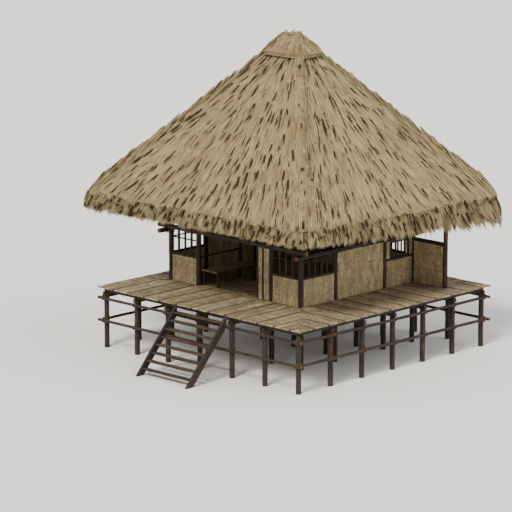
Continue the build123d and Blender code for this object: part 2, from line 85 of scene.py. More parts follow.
# an output of a node, which sums and products can be written with
class Wire:
    def __init__(self, tree, socket):
        self.tree, self.socket = tree, socket

    def __add__(self, other):
        return self.tree.math("ADD", self, other)

    def __radd__(self, other):
        return self.tree.math("ADD", other, self)

    def __sub__(self, other):
        return self.tree.math("SUBTRACT", self, other)

    def __rsub__(self, other):
        return self.tree.math("SUBTRACT", other, self)

    def __mul__(self, other):
        return self.tree.math("MULTIPLY", self, other)

    def __truediv__(self, other):
        return self.tree.math("DIVIDE", self, other)

    def then(self, kind, values=None, output=0, **settings):
        # on into the first input of a new node
        return self.tree.put(kind, {0: self, **(values or {})}, output, **settings)

    def scaled(self, amount):
        return self.then("ShaderNodeVectorMath", {"Scale": amount}, operation="SCALE")

    def unit(self):
        return self.tree.math("NORMALIZE", self)

    def length(self):
        return self.tree.math("LENGTH", self)

    def parts(self):
        made = self.tree.node("ShaderNodeSeparateXYZ", {0: self})
        return [Wire(self.tree, socket) for socket in made.outputs]

    def noise(self, scale, detail, rough=0.5, distortion=0.0, output="Fac"):
        values = {"Scale": scale, "Detail": detail, "Roughness": rough, "Distortion": distortion}
        return self.tree.put("ShaderNodeTexNoise", {"Vector": self, **values}, output)

    def cells(self, scale):
        return self.tree.put("ShaderNodeTexVoronoi", {"Vector": self, "Scale": scale}, "Distance")

    def mapped(self, fromLow, fromHigh, low=0.0, high=1.0):
        values = {"From Min": fromLow, "From Max": fromHigh, "To Min": low, "To Max": high}
        return self.then("ShaderNodeMapRange", values)

    def ramp(self, *stops):
        made = self.tree.node("ShaderNodeValToRGB", {"Fac": self})
        elements = made.color_ramp.elements
        while len(elements) < len(stops):
            elements.new(0.5)
        for element, (place, colour) in zip(elements, stops):
            element.position = place
            element.color = (*colour, 1.0)
        return Wire(self.tree, made.outputs["Color"])

    def moved(self, **values):
        return self.then("GeometryNodeSetPosition", values)

    def store(self, label, value, kind="FLOAT", domain="POINT", selection=True):
        values = {"Selection": selection, "Name": label, "Value": value}
        return self.then("GeometryNodeStoreNamedAttribute", values, data_type=kind, domain=domain)


# a node tree and short ways to fill it; tree["Label"] is one of its own inputs
class NodeTree:
    kinds = {float: "Float", int: "Int", tuple: "Vector"}

    def __init__(self, tree, inputs=None, outputs=None):
        # sockets are given by their value, or by the name of their kind
        self.tree = tree
        for way, sockets in (("INPUT", inputs or {}), ("OUTPUT", outputs or {})):
            for label, value in sockets.items():
                kind = value if isinstance(value, str) else self.kinds[type(value)]
                socket = tree.interface.new_socket(label, in_out=way, socket_type="NodeSocket" + kind)
                if not isinstance(value, str):
                    socket.default_value = value
        if inputs:
            self.given = tree.nodes.new("NodeGroupInput").outputs
            self.out = tree.nodes.new("NodeGroupOutput").inputs

    def __getitem__(self, label):
        return Wire(self, self.given[label])

    def fill(self, socket, value):
        value = getattr(value, "socket", value)
        if isinstance(value, bpy.types.NodeSocket):
            self.tree.links.new(value, socket)
        else:
            socket.default_value = (*value, 1.0) if socket.type == "RGBA" else value

    def node(self, kind, values=None, **settings):
        made = self.tree.nodes.new(kind)
        for key, value in settings.items():
            setattr(made, key, value)
        for key, value in (values or {}).items():
            self.fill(made.inputs[key], value)
        return made

    def put(self, kind, values=None, output=0, **settings):
        return Wire(self, self.node(kind, values, **settings).outputs[output])

    def math(self, operation, *values):
        # on vectors where a value is one, else on numbers
        sockets = [getattr(value, "socket", None) for value in values]
        flat = not any(isinstance(v, tuple) or s and s.type == "VECTOR" for v, s in zip(values, sockets))
        kind = "ShaderNodeMath" if flat else "ShaderNodeVectorMath"
        output = 1 if operation == "LENGTH" else 0
        return self.put(kind, dict(enumerate(values)), output, operation=operation)

    def xyz(self, *values):
        return self.put("ShaderNodeCombineXYZ", dict(enumerate(values)))

    def mix(self, share, a, b, kind="RGBA", blend="MIX"):
        first, output = {"FLOAT": (2, 0), "VECTOR": (4, 1), "RGBA": (6, 2)}[kind]
        values = {0: share, first: a, first + 1: b}
        return self.put("ShaderNodeMix", values, output, data_type=kind, blend_type=blend)

    def group(self, group, values):
        made = self.node("ShaderNodeGroup", values, node_tree=group)
        return {socket.name: Wire(self, socket) for socket in made.outputs}

    def position(self):
        return self.put("GeometryNodeInputPosition")

    def objectPlace(self):
        return self.put("ShaderNodeTexCoord", output="Object")

    def painted(self, label, output="Fac"):
        # an attribute, read by a material
        return self.put("ShaderNodeAttribute", output=output, attribute_name=label)

    def attribute(self, label, kind="FLOAT"):
        # an attribute, read by a geometry tree
        return self.put("GeometryNodeInputNamedAttribute", {"Name": label}, "Attribute", data_type=kind)

    def random(self, low, high, seed):
        values = {2: low, 3: high, "Seed": seed}  # sockets 2 and 3 are the numbers, 0 and 1 vectors
        return self.put("FunctionNodeRandomValue", values, 1, data_type="FLOAT")

    def facing(self, outwards, along):
        axes = {"primary_axis": "Z", "secondary_axis": "Y"}
        return self.put("FunctionNodeAxesToRotation", {0: outwards, 1: along}, **axes)

    def turned(self, turn, angles):
        own = angles.then("FunctionNodeEulerToRotation")
        return turn.then("FunctionNodeRotateRotation", {1: own}, rotation_space="LOCAL")

    def lay(self, points, shape, turn, size, tone):
        # one copy of a shape at every point, each with a tone of its own
        values = {"Instance": shape, "Rotation": turn, "Scale": size}
        laid = points.then("GeometryNodeInstanceOnPoints", values).store("tone", tone, domain="INSTANCE")
        return laid.then("GeometryNodeRealizeInstances")

    def finish(self, **results):
        for label, value in results.items():
            self.fill(self.out[label], value)
        return self.tree

    def finishMesh(self, geometry, *spares):
        # a plain mesh with its material, without the attributes that only the tree needs
        for spare in spares:
            geometry = geometry.then("GeometryNodeRemoveAttribute", {"Name": spare})
        geometry = geometry.then("GeometryNodeRealizeInstances")
        geometry = geometry.then("GeometryNodeSetMaterial", {"Material": self["Material"]})
        return self.finish(Geometry=geometry)


def geometryTree(title, inputs):
    inputs = {"Geometry": "Geometry", **inputs, "Material": "Material"}
    return NodeTree(bpy.data.node_groups.new(title, "GeometryNodeTree"), inputs, {"Geometry": "Geometry"})


def shaderGroup(title, inputs, *outputs):
    return NodeTree(bpy.data.node_groups.new(title, "ShaderNodeTree"), inputs, dict.fromkeys(outputs, 0.0))


def blend(share, a, b):
    # a number part of the way from a to b
    return a + share * (b - a)


# meshes, and the pieces made of them
def meshOf(title, points, edges=(), faces=(), **attributes):
    mesh = bpy.data.meshes.new(title)
    mesh.from_pydata([tuple(map(float, point)) for point in points], edges, faces)
    for label, values in attributes.items():
        values = np.array(values, float)
        kind, field = ("FLOAT_VECTOR", "vector") if values.ndim > 1 else ("FLOAT", "value")
        mesh.attributes.new(label, kind, "POINT").data.foreach_set(field, values.ravel())
    return mesh


def linkObject(title, mesh):
    made = bpy.data.objects.new(title, mesh)
    scene.collection.objects.link(made)
    return made


def evaluatedMesh(holder):
    return bpy.data.meshes.new_from_object(holder.evaluated_get(bpy.context.evaluated_depsgraph_get()))


def growMesh(title, mesh, tree, look, values):
    values = {**values, "Material": materials[look]}
    holder = linkObject(title, mesh)
    modifier = holder.modifiers.new("grow", "NODES")
    modifier.node_group = tree
    for item in tree.interface.items_tree:
        if item.item_type == "SOCKET" and item.in_out == "INPUT" and item.name in values:
            modifier[item.identifier] = values[item.name]
    result = evaluatedMesh(holder)
    holder.modifiers.remove(modifier)
    bpy.data.objects.remove(holder)
    return result


def joined(title, meshes):
    parts = [linkObject(title + "Parts", mesh) for mesh in meshes]
    base = parts[0]
    with bpy.context.temp_override(
        active_object=base, object=base, selected_objects=parts, selected_editable_objects=parts
    ):
        bpy.ops.object.join()
    mesh = base.data
    bpy.data.objects.remove(base)
    return mesh


def settle(title, mesh, slotName, *replaced):
    piece = linkObject(title, mesh)
    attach(piece, "root")
    if replaced:
        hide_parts(*replaced)
    print(title, "triangles:", sum(len(p.vertices) - 2 for p in mesh.polygons))
    return piece


# places read from the CAD nodes
def islands(node):
    # the separate solids of a node, each as an array of its corner points
    mesh = nodes[node].data
    co = np.empty(len(mesh.vertices) * 3)
    mesh.vertices.foreach_get("co", co)
    keys, inverse = np.unique(np.round(co.reshape(-1, 3), 5), axis=0, return_inverse=True)
    inverse = inverse.reshape(-1)
    parent = list(range(len(keys)))

    def root(i):
        while parent[i] != i:
            parent[i] = parent[parent[i]]
            i = parent[i]
        return i

    for polygon in mesh.polygons:
        corner = [inverse[v] for v in polygon.vertices]
        for other in corner[1:]:
            parent[root(other)] = root(corner[0])
    groups = {}
    for i in range(len(keys)):
        groups.setdefault(root(i), []).append(i)
    found = [keys[group] for group in groups.values()]
    return sorted(found, key=lambda points: tuple(np.round(points.mean(axis=0), 3)))


def boxOf(points):
    return points.min(axis=0), points.max(axis=0)


def poleLine(points):
    # the two ends and the radius of a round or many-sided solid
    middle = points.mean(axis=0)
    spread = points - middle
    axis = np.linalg.eigh(spread.T @ spread)[1][:, -1]
    axis = axis * (1 if axis[np.argmax(np.abs(axis))] > 0 else -1)
    along = spread @ axis
    radius = np.linalg.norm(spread - np.outer(along, axis), axis=1).max()
    return middle + axis * along.min(), middle + axis * along.max(), float(radius)


def linesMesh(title, lines):
    # each line is (start, end, girth, tone)
    edges = [(2 * i, 2 * i + 1) for i in range(len(lines))]
    girth, tone = (np.repeat([line[i] for line in lines], 2) for i in (2, 3))
    return meshOf(title, [point for line in lines for point in line[:2]], edges, girth=girth, tone=tone)


# the ways out of the four sides of the house
sideWays = {"stair": (0, -1), "right": (1, 0), "rear": (0, 1), "left": (-1, 0)}


# fibres that run along a piece: takes a coordinate whose z runs along it
def buildGrainGroup():
    tree = shaderGroup("woodGrain", {"Vector": "Vector", "Fineness": 30.0, "Stretch": 0.08}, "Fibre", "Knots")
    stretched = tree["Vector"] * tree.xyz(1.0, 1.0, tree["Stretch"])
    fine = stretched.noise(tree["Fineness"], 5.0, 0.62, 0.35)
    broad = stretched.noise(tree["Fineness"] * 0.22, 3.0)
    knots = tree["Vector"].cells(2.1).mapped(0.03, 0.14, 1.0, 0.0)
    return tree.finish(Fibre=fine * 0.62 + broad * 0.38, Knots=knots)


# stains, dry patches and dirt that rises from below
def buildWeatherGroup():
    inputs = {"Patch Size": 1.4, "Damp Height": 0.5}
    tree = shaderGroup("weathering", inputs, "Patches", "Stains", "Damp")
    place = tree.objectPlace()
    patches = place.noise(tree["Patch Size"], 4.0, 0.6)
    stains = (place * (1.0, 1.0, 0.25)).noise(tree["Patch Size"] * 4.0, 6.0, 0.7)
    height = place.parts()[2] + (patches - 0.5) * 0.9
    damp = height.mapped(0.0, tree["Damp Height"], 1.0, 0.0)
    return tree.finish(Patches=patches, Stains=stains, Damp=damp)


# growth rings and drying cracks on a sawn end, round the middle of the piece
def buildEndGroup():
    tree = shaderGroup("endGrain", {"Vector": "Vector", "Rings": 150.0}, "Ring", "Checks")
    flat = tree["Vector"] * (1.0, 1.0, 0.0)
    radius = flat.length() + flat.noise(18.0, 2.0) * 0.02
    wave = tree.math("SINE", radius * (tree["Rings"] * 6.283))
    x, y, z = flat.parts()
    split = tree.xyz(tree.math("ARCTAN2", y, x) * 2.5, radius * 4.0).noise(2.0, 2.0)
    return tree.finish(Ring=tree.math("MULTIPLY_ADD", wave, 0.5, 0.5), Checks=split.mapped(0.62, 0.7))


grainGroup = buildGrainGroup()
weatherGroup = buildWeatherGroup()
endGroup = buildEndGroup()


def linear(r, g, b):
    # a colour given on the 0 to 255 scale
    return tuple(((c / 255 + 0.055) / 1.055) ** 2.4 if c > 10 else c / 255 / 12.92 for c in (r, g, b))


black, white = (0.0, 0.0, 0.0), (1.0, 1.0, 1.0)


def newMaterial(title):
    material = bpy.data.materials.new(title)
    material.use_nodes = True
    return material, NodeTree(material.node_tree), material.node_tree.nodes["Principled BSDF"]


def finishSurface(tree, shader, colour, height, bump, roughness):
    bumped = tree.put("ShaderNodeBump", {"Height": height, "Distance": bump[0], "Strength": bump[1]})
    for label, value in (("Base Color", colour), ("Normal", bumped), ("Roughness", roughness)):
        tree.fill(shader.inputs[label], value)


# timber that reads its grain place, tone, sawn ends and the painted shade at its edges from attributes;
# kept CAD pieces have none, so they get the plain kind, by places on the piece
def timberMaterial(title, look, plain=False):
    material, tree, shader = newMaterial(title)
    place = tree.objectPlace() if plain else tree.painted("grain", "Vector")
    fibres = {"Fineness": look["fineness"], "Stretch": look["stretch"]}
    grain = tree.group(grainGroup, {"Vector": place, **fibres})
    weather = tree.group(weatherGroup, {"Patch Size": look["patchSize"], "Damp Height": look["dampHeight"]})
    base = grain["Fibre"].ramp((0.28, look["dark"]), (0.52, look["middle"]), (0.74, look["light"]))
    bare = weather["Patches"].ramp((0.56, black), (0.70, white))
    base = tree.mix(bare * look["bareShare"], base, look["bare"])
    if not plain:
        base = tree.mix(grain["Knots"] * look["knotShade"], base, look["dark"])
    stained = weather["Stains"].ramp((0.42, white), (0.60, black))
    base = tree.mix(stained * look["stainShade"], base, look["dark"])
    height = grain["Fibre"]
    if not plain:
        base = tree.mix(weather["Damp"] * look["dampShade"], base, look["damp"])
        ends = tree.group(endGroup, {"Vector": place})
        sawn = ends["Ring"].ramp((0.2, look["middle"]), (0.8, look["bare"]))
        sawn = tree.mix(ends["Checks"], sawn, look["dark"])
        base = tree.mix(tree.painted("cap") * look["endShade"], base, sawn)
        # painted shade: each piece darkens towards its long edges and over its sides, where the gaps between
        # pieces lie in shade
        rim = tree.math("ABSOLUTE", tree.painted("edge"))
        rim = rim.mapped(look["edgeFrom"], 1.0, 0.0, look["edgeShade"])
        base = tree.mix(rim, base, look["dark"])
        shade = tree.painted("tone").mapped(0.0, 1.0, 1.0 - look["toneSpread"], 1.0 + look["toneSpread"])
        shade = tree.put("ShaderNodeCombineColor", dict.fromkeys(range(3), shade))
        base = tree.mix(1.0, base, shade, blend="MULTIPLY")
        height = height - grain["Knots"] * 0.5
    finishSurface(tree, shader, base, height, look["bump"], grain["Fibre"].mapped(0.0, 1.0, 0.62, 0.95))
    return material


darkTimber = {
    "dark": linear(20, 14, 9),
    "middle": linear(44, 31, 21),
    "light": linear(80, 58, 38),
    "bare": linear(134, 90, 56),  # where the dark skin has worn off
    "bareShare": 0.42,
    "damp": linear(40, 34, 26),
    "dampHeight": 0.35,
    "dampShade": 0.8,
    "knotShade": 0.7,
    "stainShade": 0.55,
    "endShade": 0.85,
    "toneSpread": 0.22,  # from one piece to the next
    "fineness": 26.0,
    "stretch": 0.09,
    "patchSize": 1.3,
    "bump": (0.012, 0.6),
    # painted shade at the edges: where it starts across the piece, and how dark it gets
    "edgeFrom": 0.86,
    "edgeShade": 0.3,
}
railLook = {**darkTimber, "light": linear(92, 68, 45), "bareShare": 0.35, "dampHeight": 0.01}
beamLook = {**darkTimber, "dampHeight": 0.01, "bareShare": 0.35}
boardLook = {
    **darkTimber,
    "dark": linear(66, 52, 33),
    "middle": linear(152, 134, 101),
    "light": linear(194, 175, 138),
    "bare": linear(200, 179, 139),
    "bareShare": 0.35,
    "damp": linear(120, 104, 76),
    "dampHeight": 0.01,
    "toneSpread": 0.2,
    "fineness": 22.0,
    "bump": (0.006, 0.5),
    "edgeFrom": 0.8,
    "edgeShade": 0.9,
}
wallLook = {
    **boardLook,
    "dark": linear(112, 94, 64),
    "middle": linear(182, 162, 122),
    "light": linear(208, 190, 150),
    "bare": linear(196, 158, 118),
    "edgeFrom": 0.7,
    "edgeShade": 0.6,
}
treadLook = {
    **darkTimber,
    "middle": linear(82, 62, 42),
    "light": linear(124, 98, 68),
    "bare": linear(156, 122, 84),
    "dampHeight": 0.2,
    "edgeFrom": 0.7,
    "edgeShade": 0.6,
}

materials = {
    "tread": timberMaterial("wornTreadTimber", treadLook),
    "post": timberMaterial("darkPostTimber", darkTimber),
    "rail": timberMaterial("darkRailPole", railLook),
    "beam": timberMaterial("hewnBeamTimber", beamLook),
    "board": timberMaterial("greyedDeckBoard", boardLook),
    "wall": timberMaterial("splitBambooMat", wallLook),
    "roofPole": timberMaterial("smokedRoofPole", {**railLook, "light": linear(120, 88, 54)}),
    "plainBeam": timberMaterial("hiddenBeamTimber", beamLook, True),
    "plainBoard": timberMaterial("plainBoardWood", {**boardLook, "fineness": 14.0, "stretch": 0.5}, True),
    "plainWall": timberMaterial("wallCoreBoards", {**wallLook, "fineness": 18.0, "stretch": 0.12}, True),
}
print("timber materials ready")


# natural poles: a bent, uneven round stick along every line of the given mesh
def buildPoleTree():
    inputs = {"Spacing": 0.3, "Sides": 14, "Bend": 0.01, "Uneven": 0.1, "Bark": 0.005, "Seed": 0.0}
    tree = geometryTree("naturalPole", inputs)
    tone, girth, place = tree.attribute("tone"), tree.attribute("girth"), tree.position()
    share, travelled = (tree.put("GeometryNodeSplineParameter", output=name) for name in ("Factor", "Length"))
    curve = tree["Geometry"].then("GeometryNodeMeshToCurve")
    curve = curve.then("GeometryNodeResampleCurve", {"Length": tree["Spacing"]}, mode="LENGTH")
    drifted = place + tree.xyz(tone * 40.0, tree["Seed"], 0.0)  # each pole meets the noise elsewhere
    wander = tree.math("SUBTRACT", drifted.noise(0.6, 1.0, output="Color"), (0.5, 0.5, 0.5))
    bow = tree.math("POWER", share * (1.0 - share) * 4.0, 0.6) * (tree["Bend"] * 4.0)  # none at the ends
    curve = curve.moved(Offset=wander.scaled(bow))
    swell = tree.math("MULTIPLY_ADD", drifted.noise(1.7, 2.0) - 0.62, tree["Uneven"], 1.0)
    curve = curve.then("GeometryNodeSetCurveRadius", {"Radius": girth * swell})
    curve = curve.store("along", travelled + tone * 37.0)
    ring = tree.put("GeometryNodeCurvePrimitiveCircle", {"Resolution": tree["Sides"], "Radius": 1.0}, "Curve")
    ring = ring.store("ringSpot", place, "FLOAT_VECTOR")
    width = tree.put("GeometryNodeInputRadius")
    values = {"Profile Curve": ring, "Scale": width, "Fill Caps": True}
    body = curve.then("GeometryNodeCurveToMesh", values)
    push = (place.noise(7.0, 2.0) - 0.62) * tree["Bark"]
    body = body.moved(Offset=tree.put("GeometryNodeInputNormal").scaled(push))
    body = body.moved(Position=tree.math("MAXIMUM", place, (-100.0, -100.0, 0.0)))  # feet stay on the ground
    x, y, z = tree.attribute("ringSpot", "FLOAT_VECTOR").scaled(girth).parts()
    body = body.store("grain", tree.xyz(x, y, tree.attribute("along")), "FLOAT_VECTOR")
    corners = tree.put("GeometryNodeInputMeshFaceNeighbors", output="Vertex Count")
    values = {2: corners, 3: 5}  # sockets 2 and 3 compare whole numbers
    isSide = tree.put("FunctionNodeCompare", values, data_type="INT", operation="LESS_THAN")
    body = body.then("GeometryNodeSetShadeSmooth", {"Selection": isSide, "Shade Smooth": True})
    body = body.store("cap", tree.math("GREATER_THAN", corners, 4.5), domain="FACE")
    return tree.finishMesh(body, "ringSpot", "along", "girth")


poleTree = buildPoleTree()

poleSets = {
    "deckPostLogs": {
        "nodes": ("deck_posts", "floor_stumps"), "look": "post", "slot": "posts", "seed": 3,
        "Spacing": 0.22, "Sides": 16, "Bend": 0.008, "Uneven": 0.16, "Bark": 0.014,
    },
    "housePostLogs": {
        "nodes": ("corner_posts", "wall_posts"), "look": "post", "slot": "posts", "seed": 5,
        "Spacing": 0.25, "Sides": 16, "Bend": 0.006, "Uneven": 0.14, "Bark": 0.012,
    },
    "jambLogs": {
        "nodes": ("bay_jambs", "outer_post"), "look": "post", "slot": "posts", "seed": 7,
        "Spacing": 0.2, "Sides": 14, "Bend": 0.004, "Uneven": 0.14, "Bark": 0.010,
    },
    "railPoles": {
        "nodes": ("upper_rails", "lower_rails"), "look": "rail", "slot": "poles", "seed": 11,
        "Spacing": 0.25, "Sides": 12, "Bend": 0.010, "Uneven": 0.24, "Bark": 0.010,
    },
    "headLogs": {
        "nodes": ("head_logs",), "look": "post", "slot": "beams", "seed": 13,
        "Spacing": 0.2, "Sides": 18, "Bend": 0.006, "Uneven": 0.16, "Bark": 0.014,
    },
    "plateLogs": {
        "nodes": ("wall_plates", "ridge_pole"), "look": "roofPole", "slot": "poles", "seed": 17,
        "Spacing": 0.3, "Sides": 12, "Bend": 0.004, "Uneven": 0.12, "Bark": 0.008,
    },
    "purlinPoles": {
        "nodes": ("eave_poles", "collar_purlins", "hip_rafters"), "look": "roofPole", "slot": "poles",
        "seed": 19, "Spacing": 0.3, "Sides": 10, "Bend": 0.004, "Uneven": 0.16, "Bark": 0.008,
    },
    "rafterPoles": {
        "nodes": ("rafters",), "look": "roofPole", "slot": "poles", "seed": 23,
        "Spacing": 0.5, "Sides": 8, "Bend": 0.004, "Uneven": 0.16, "Bark": 0.006,
    },
    "lathPoles": {
        "nodes": ("thatch_laths",), "look": "roofPole", "slot": "poles", "seed": 29,
        "Spacing": 0.5, "Sides": 6, "Bend": 0.003, "Uneven": 0.2, "Bark": 0.0,
    },
    "benchPoles": {
        "nodes": ("bench_back",), "look": "rail", "slot": "poles", "seed": 31,
        "Spacing": 0.12, "Sides": 14, "Bend": 0.003, "Uneven": 0.16, "Bark": 0.008,
    },
}


def makePoles(title, setup):
    rng = np.random.default_rng(setup["seed"])
    solids = [points for name in setup["nodes"] for points in islands(name)]
    lines = [(*poleLine(points), float(rng.random())) for points in solids]
    values = {**setup, "Seed": float(setup["seed"])}
    mesh = growMesh(title, linesMesh(title, lines), poleTree, setup["look"], values)
    settle(title, mesh, setup["slot"], *setup["nodes"])


for title, setup in poleSets.items():
    makePoles(title, setup)
print("poles done")


# boards and squared timbers: each starts as a strip of flat faces that the tree thickens
class BoardSet:
    def __init__(self, seed):
        self.rng = np.random.default_rng(seed)
        self.points, self.faces, self.grain, self.tone, self.edge = [], [], [], [], []

    def add(self, corners, spacing=0.3, edges=(1.0, 1.0)):
        # corners go round the board: two across its start, two across its end
        a, b, c, d = (np.array(p, float) for p in corners)
        length = np.linalg.norm((c + d - a - b) / 2)
        width = np.linalg.norm(((b - a) + (c - d)) / 2)
        steps = max(1, round(length / spacing))
        tone = float(self.rng.random())
        first = len(self.points)
        for i in range(steps + 1):
            share = i / steps
            for j, (low, high) in enumerate(((a, d), (b, c))):
                self.points.append(low + (high - low) * share)
                self.grain.append((width * j + tone * 5.0, 0.0, length * share + tone * 23.0))
                self.tone.append(tone)
                # edge runs from -1 to 1 across the board; the material paints shade towards its long edges
                # and sides
                self.edge.append((2.0 * j - 1.0) * edges[j])
            if i:
                k = first + 2 * i
                self.faces.append((k - 2, k - 1, k + 1, k))

    def addBox(self, low, high, spacing=0.3):
        # a timber from its box, its length along the longest side, its flat face up
        (x0, y0, z0), (x1, y1, z1) = low, high
        corners = [(x0, y0, z1), (x0, y1, z1), (x1, y1, z1), (x1, y0, z1)]
        self.add(corners if x1 - x0 >= y1 - y0 else corners[3:] + corners[:3], spacing)

    def grow(self, title, look, thickness, direction=(0, 0, -1), waviness=0.006):
        flat = meshOf(title, self.points, (), self.faces, grain=self.grain, tone=self.tone, edge=self.edge)
        values = {"Thickness": thickness, "Direction": direction, "Waviness": waviness}
        return growMesh(title, flat, boardTree, look, values)


def buildBoardTree():
    inputs = {"Thickness": 0.04, "Direction": (0.0, 0.0, -1.0), "Waviness": 0.008}
    tree = geometryTree("wornBoard", inputs)
    drifted = tree.position() + tree.xyz(tree.attribute("tone") * 19.0)
    wave = tree.math("SUBTRACT", drifted.noise(2.4, 2.0, output="Color"), (0.5, 0.5, 0.5))
    wave = wave.scaled(tree["Waviness"] * 2.5)
    flat = tree["Geometry"].moved(Offset=wave)
    values = {"Offset": tree["Direction"], "Offset Scale": tree["Thickness"], "Individual": False}
    grown = tree.node("GeometryNodeExtrudeMesh", {"Mesh": flat, **values}, mode="FACES").outputs
    lowered = tree.attribute("grain", "FLOAT_VECTOR") + tree.xyz(0.0, tree["Thickness"])
    sunk = Wire(tree, grown["Mesh"]).store("grain", lowered, "FLOAT_VECTOR", selection=grown["Top"])
    whole = tree.node("GeometryNodeJoinGeometry")
    for part in (sunk.then("GeometryNodeFlipFaces"), flat):
        tree.fill(whole.inputs[0], part)
    merged = Wire(tree, whole.outputs[0]).then("GeometryNodeMergeByDistance", {"Distance": 0.00005})
    return tree.finishMesh(merged)


boardTree = buildBoardTree()


def makeBoards(title, boards, look, slotName, thickness, *replaced, edge=0.006, **shape):
    holder = linkObject(title + "Rough", boards.grow(title, look, thickness, **shape))
    worn = holder.modifiers.new("wornEdge", "BEVEL")
    worn.width = edge
    worn.segments = 1
    worn.limit_method = "ANGLE"
    mesh = evaluatedMesh(holder)
    bpy.data.objects.remove(holder)
    settle(title, mesh, slotName, *replaced)


# the deck: boards square to the house in pairs, cut on the mitres
deckSetup = {
    "width": 0.375,
    "widthSpread": 0.03,
    "narrowest": 0.12,  # a last board below this joins the one before
    "gap": 0.038,  # between pairs
    "seam": 0.008,  # within a pair
    "seamEdge": 0.4,  # how much painted shade the edge at a seam gets, next to 1 at a gap
    "thickness": 0.045,
    "endWander": 0.04,
    "topWander": 0.006,
    "shortest": 0.02,
    "seed": 41,
}


def mitreEnd(across, start, end, line, outer, edge):
    # where a board starts: at the house, or on the mitre line past its corner
    if start <= across <= end:
        return line
    near, far = (start, -edge) if across < start else (end, edge)
    share = (across - near) / (far - near)
    return line + (outer - line) * share


def makeDeckBoards(
    width, widthSpread, narrowest, gap, seam, seamEdge, thickness, endWander, topWander, shortest, seed
):
    edge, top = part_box("deck_stair_side")[1].x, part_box("deck_stair_side")[1].z
    sides = ("stair", "rear", "left", "right")
    parts = [f"deck_{side}_side" for side in sides]
    inner = {}
    for side, part in zip(sides, parts):
        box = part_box(part)
        inner[side] = {"stair": box[1].y, "rear": box[0].y, "left": box[1].x, "right": box[0].x}[side]
    boards = BoardSet(seed)
    rng = boards.rng
    for side in sides:
        way, line = sum(sideWays[side]), inner[side]
        facesY = side in ("stair", "rear")
        start, end = (inner["left"], inner["right"]) if facesY else (inner["stair"], inner["rear"])
        across, second = -edge, False
        while across < edge - shortest:
            stop = min(across + width + widthSpread * (rng.random() * 2 - 1), edge)
            if edge - stop < narrowest:
                stop = edge
            gaps = (seam, gap) if second else (gap, seam)
            a, b = across + gaps[0] / 2, stop - gaps[1] / 2
            outer = way * (edge - endWander * rng.random())
            ends = [mitreEnd(value, start, end, line, way * edge, edge) for value in (a, b)]
            level = top - topWander * rng.random()
            if max(abs(outer - e) for e in ends) > narrowest:
                ends = [e if abs(outer - e) > shortest else outer - way * shortest for e in ends]
                corners = [(a, ends[0]), (b, ends[1]), (b, outer), (a, outer)]
                corners = [(*(p if facesY else p[::-1]), level) for p in corners]
                edges = (seamEdge, 1.0) if second else (1.0, seamEdge)
                boards.add(corners[::-1] if (way < 0) == facesY else corners, edges=edges)
            across, second = stop, not second
    makeBoards("deckBoards", boards, "board", "boards", thickness, *parts)


makeDeckBoards(**deckSetup)


# equal boards side by side: the floor inside the house and the bench seat
plankSets = {
    "floorBoards": {
        "node": "house_floor", "across": 1, "width": 0.24, "gap": 0.008, "thickness": 0.045,
        "spacing": 0.6, "waviness": 0.003, "seed": 43,
    },
    "benchBoards": {
        "node": "bench_seat", "across": 0, "count": 4, "gap": 0.012, "thickness": 0.04,
        "spacing": 0.25, "waviness": 0.004, "seed": 47,
    },
}


def makePlanks(title, node, across, gap, thickness, spacing, waviness, seed, width=1.0, count=None):
    low, high = (np.array(corner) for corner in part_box(node))
    start, size = low[across], high[across] - low[across]
    count = count or round(size / width)
    boards = BoardSet(seed)
    for i in range(count):
        low[across] = start + size * i / count + gap / 2
        high[across] = start + size * (i + 1) / count - gap / 2
        boards.addBox(low, high, spacing)
    makeBoards(title, boards, "board", "boards", thickness, node, waviness=waviness)


for title, setup in plankSets.items():
    makePlanks(title, **setup)


# the stair: worn treads between two sloping stringers
stairSetup = {"seed": 53, "wear": 0.008, "spacing": 0.15, "tread": 0.043, "stringer": 0.09, "waviness": 0.006}


def makeStair(seed, wear, spacing, tread, stringer, waviness):
    treads = BoardSet(seed)
    for points in islands("stair_treads"):
        treads.addBox(*boxOf(points), spacing)
    makeBoards("stairTreads", treads, "tread", "boards", tread, "stair_treads", waviness=wear, edge=wear)
    strings = BoardSet(seed + 1)
    for points in islands("stair_stringers"):
        (x0, y0, z0), (x1, y1, z1) = boxOf(points)
        foot = points[points[:, 2] < z0 + 0.001][:, 1]
        head = points[points[:, 1] > y1 - 0.001][:, 2]
        z0 += wear
        corners = [(x1, foot.max(), z0), (x1, foot.min(), z0), (x1, y1, head.max()), (x1, y1, head.min())]
        strings.add(corners, spacing)
    shape = {"direction": (-1, 0, 0), "waviness": waviness, "edge": 0.01}
    makeBoards("stairStringers", strings, "beam", "beams", stringer, "stair_stringers", **shape)


makeStair(**stairSetup)

# squared timbers that show: rim, sill and head rails, screen beam
beamSets = {
    "rimTimbers": {"node": "rim_beams", "edge": 0.012, "waviness": 0.008, "seed": 69},
    "sillTimbers": {"node": "sill_rails", "edge": 0.008, "waviness": 0.004, "seed": 70},
    "headTimbers": {"node": "head_rails", "edge": 0.008, "waviness": 0.004, "seed": 70},
    "screenTimber": {"node": "screen_beam", "edge": 0.008, "waviness": 0.004, "seed": 71},
}


def makeBeams(title, node, edge, waviness, seed):
    beams = BoardSet(seed)
    for points in islands(node):
        beams.addBox(*boxOf(points))
        depth = float(np.ptp(points[:, 2]))
    makeBoards(title, beams, "beam", "beams", depth, node, waviness=waviness, edge=edge)


for title, setup in beamSets.items():
    makeBeams(title, **setup)
print("boards and beams done")


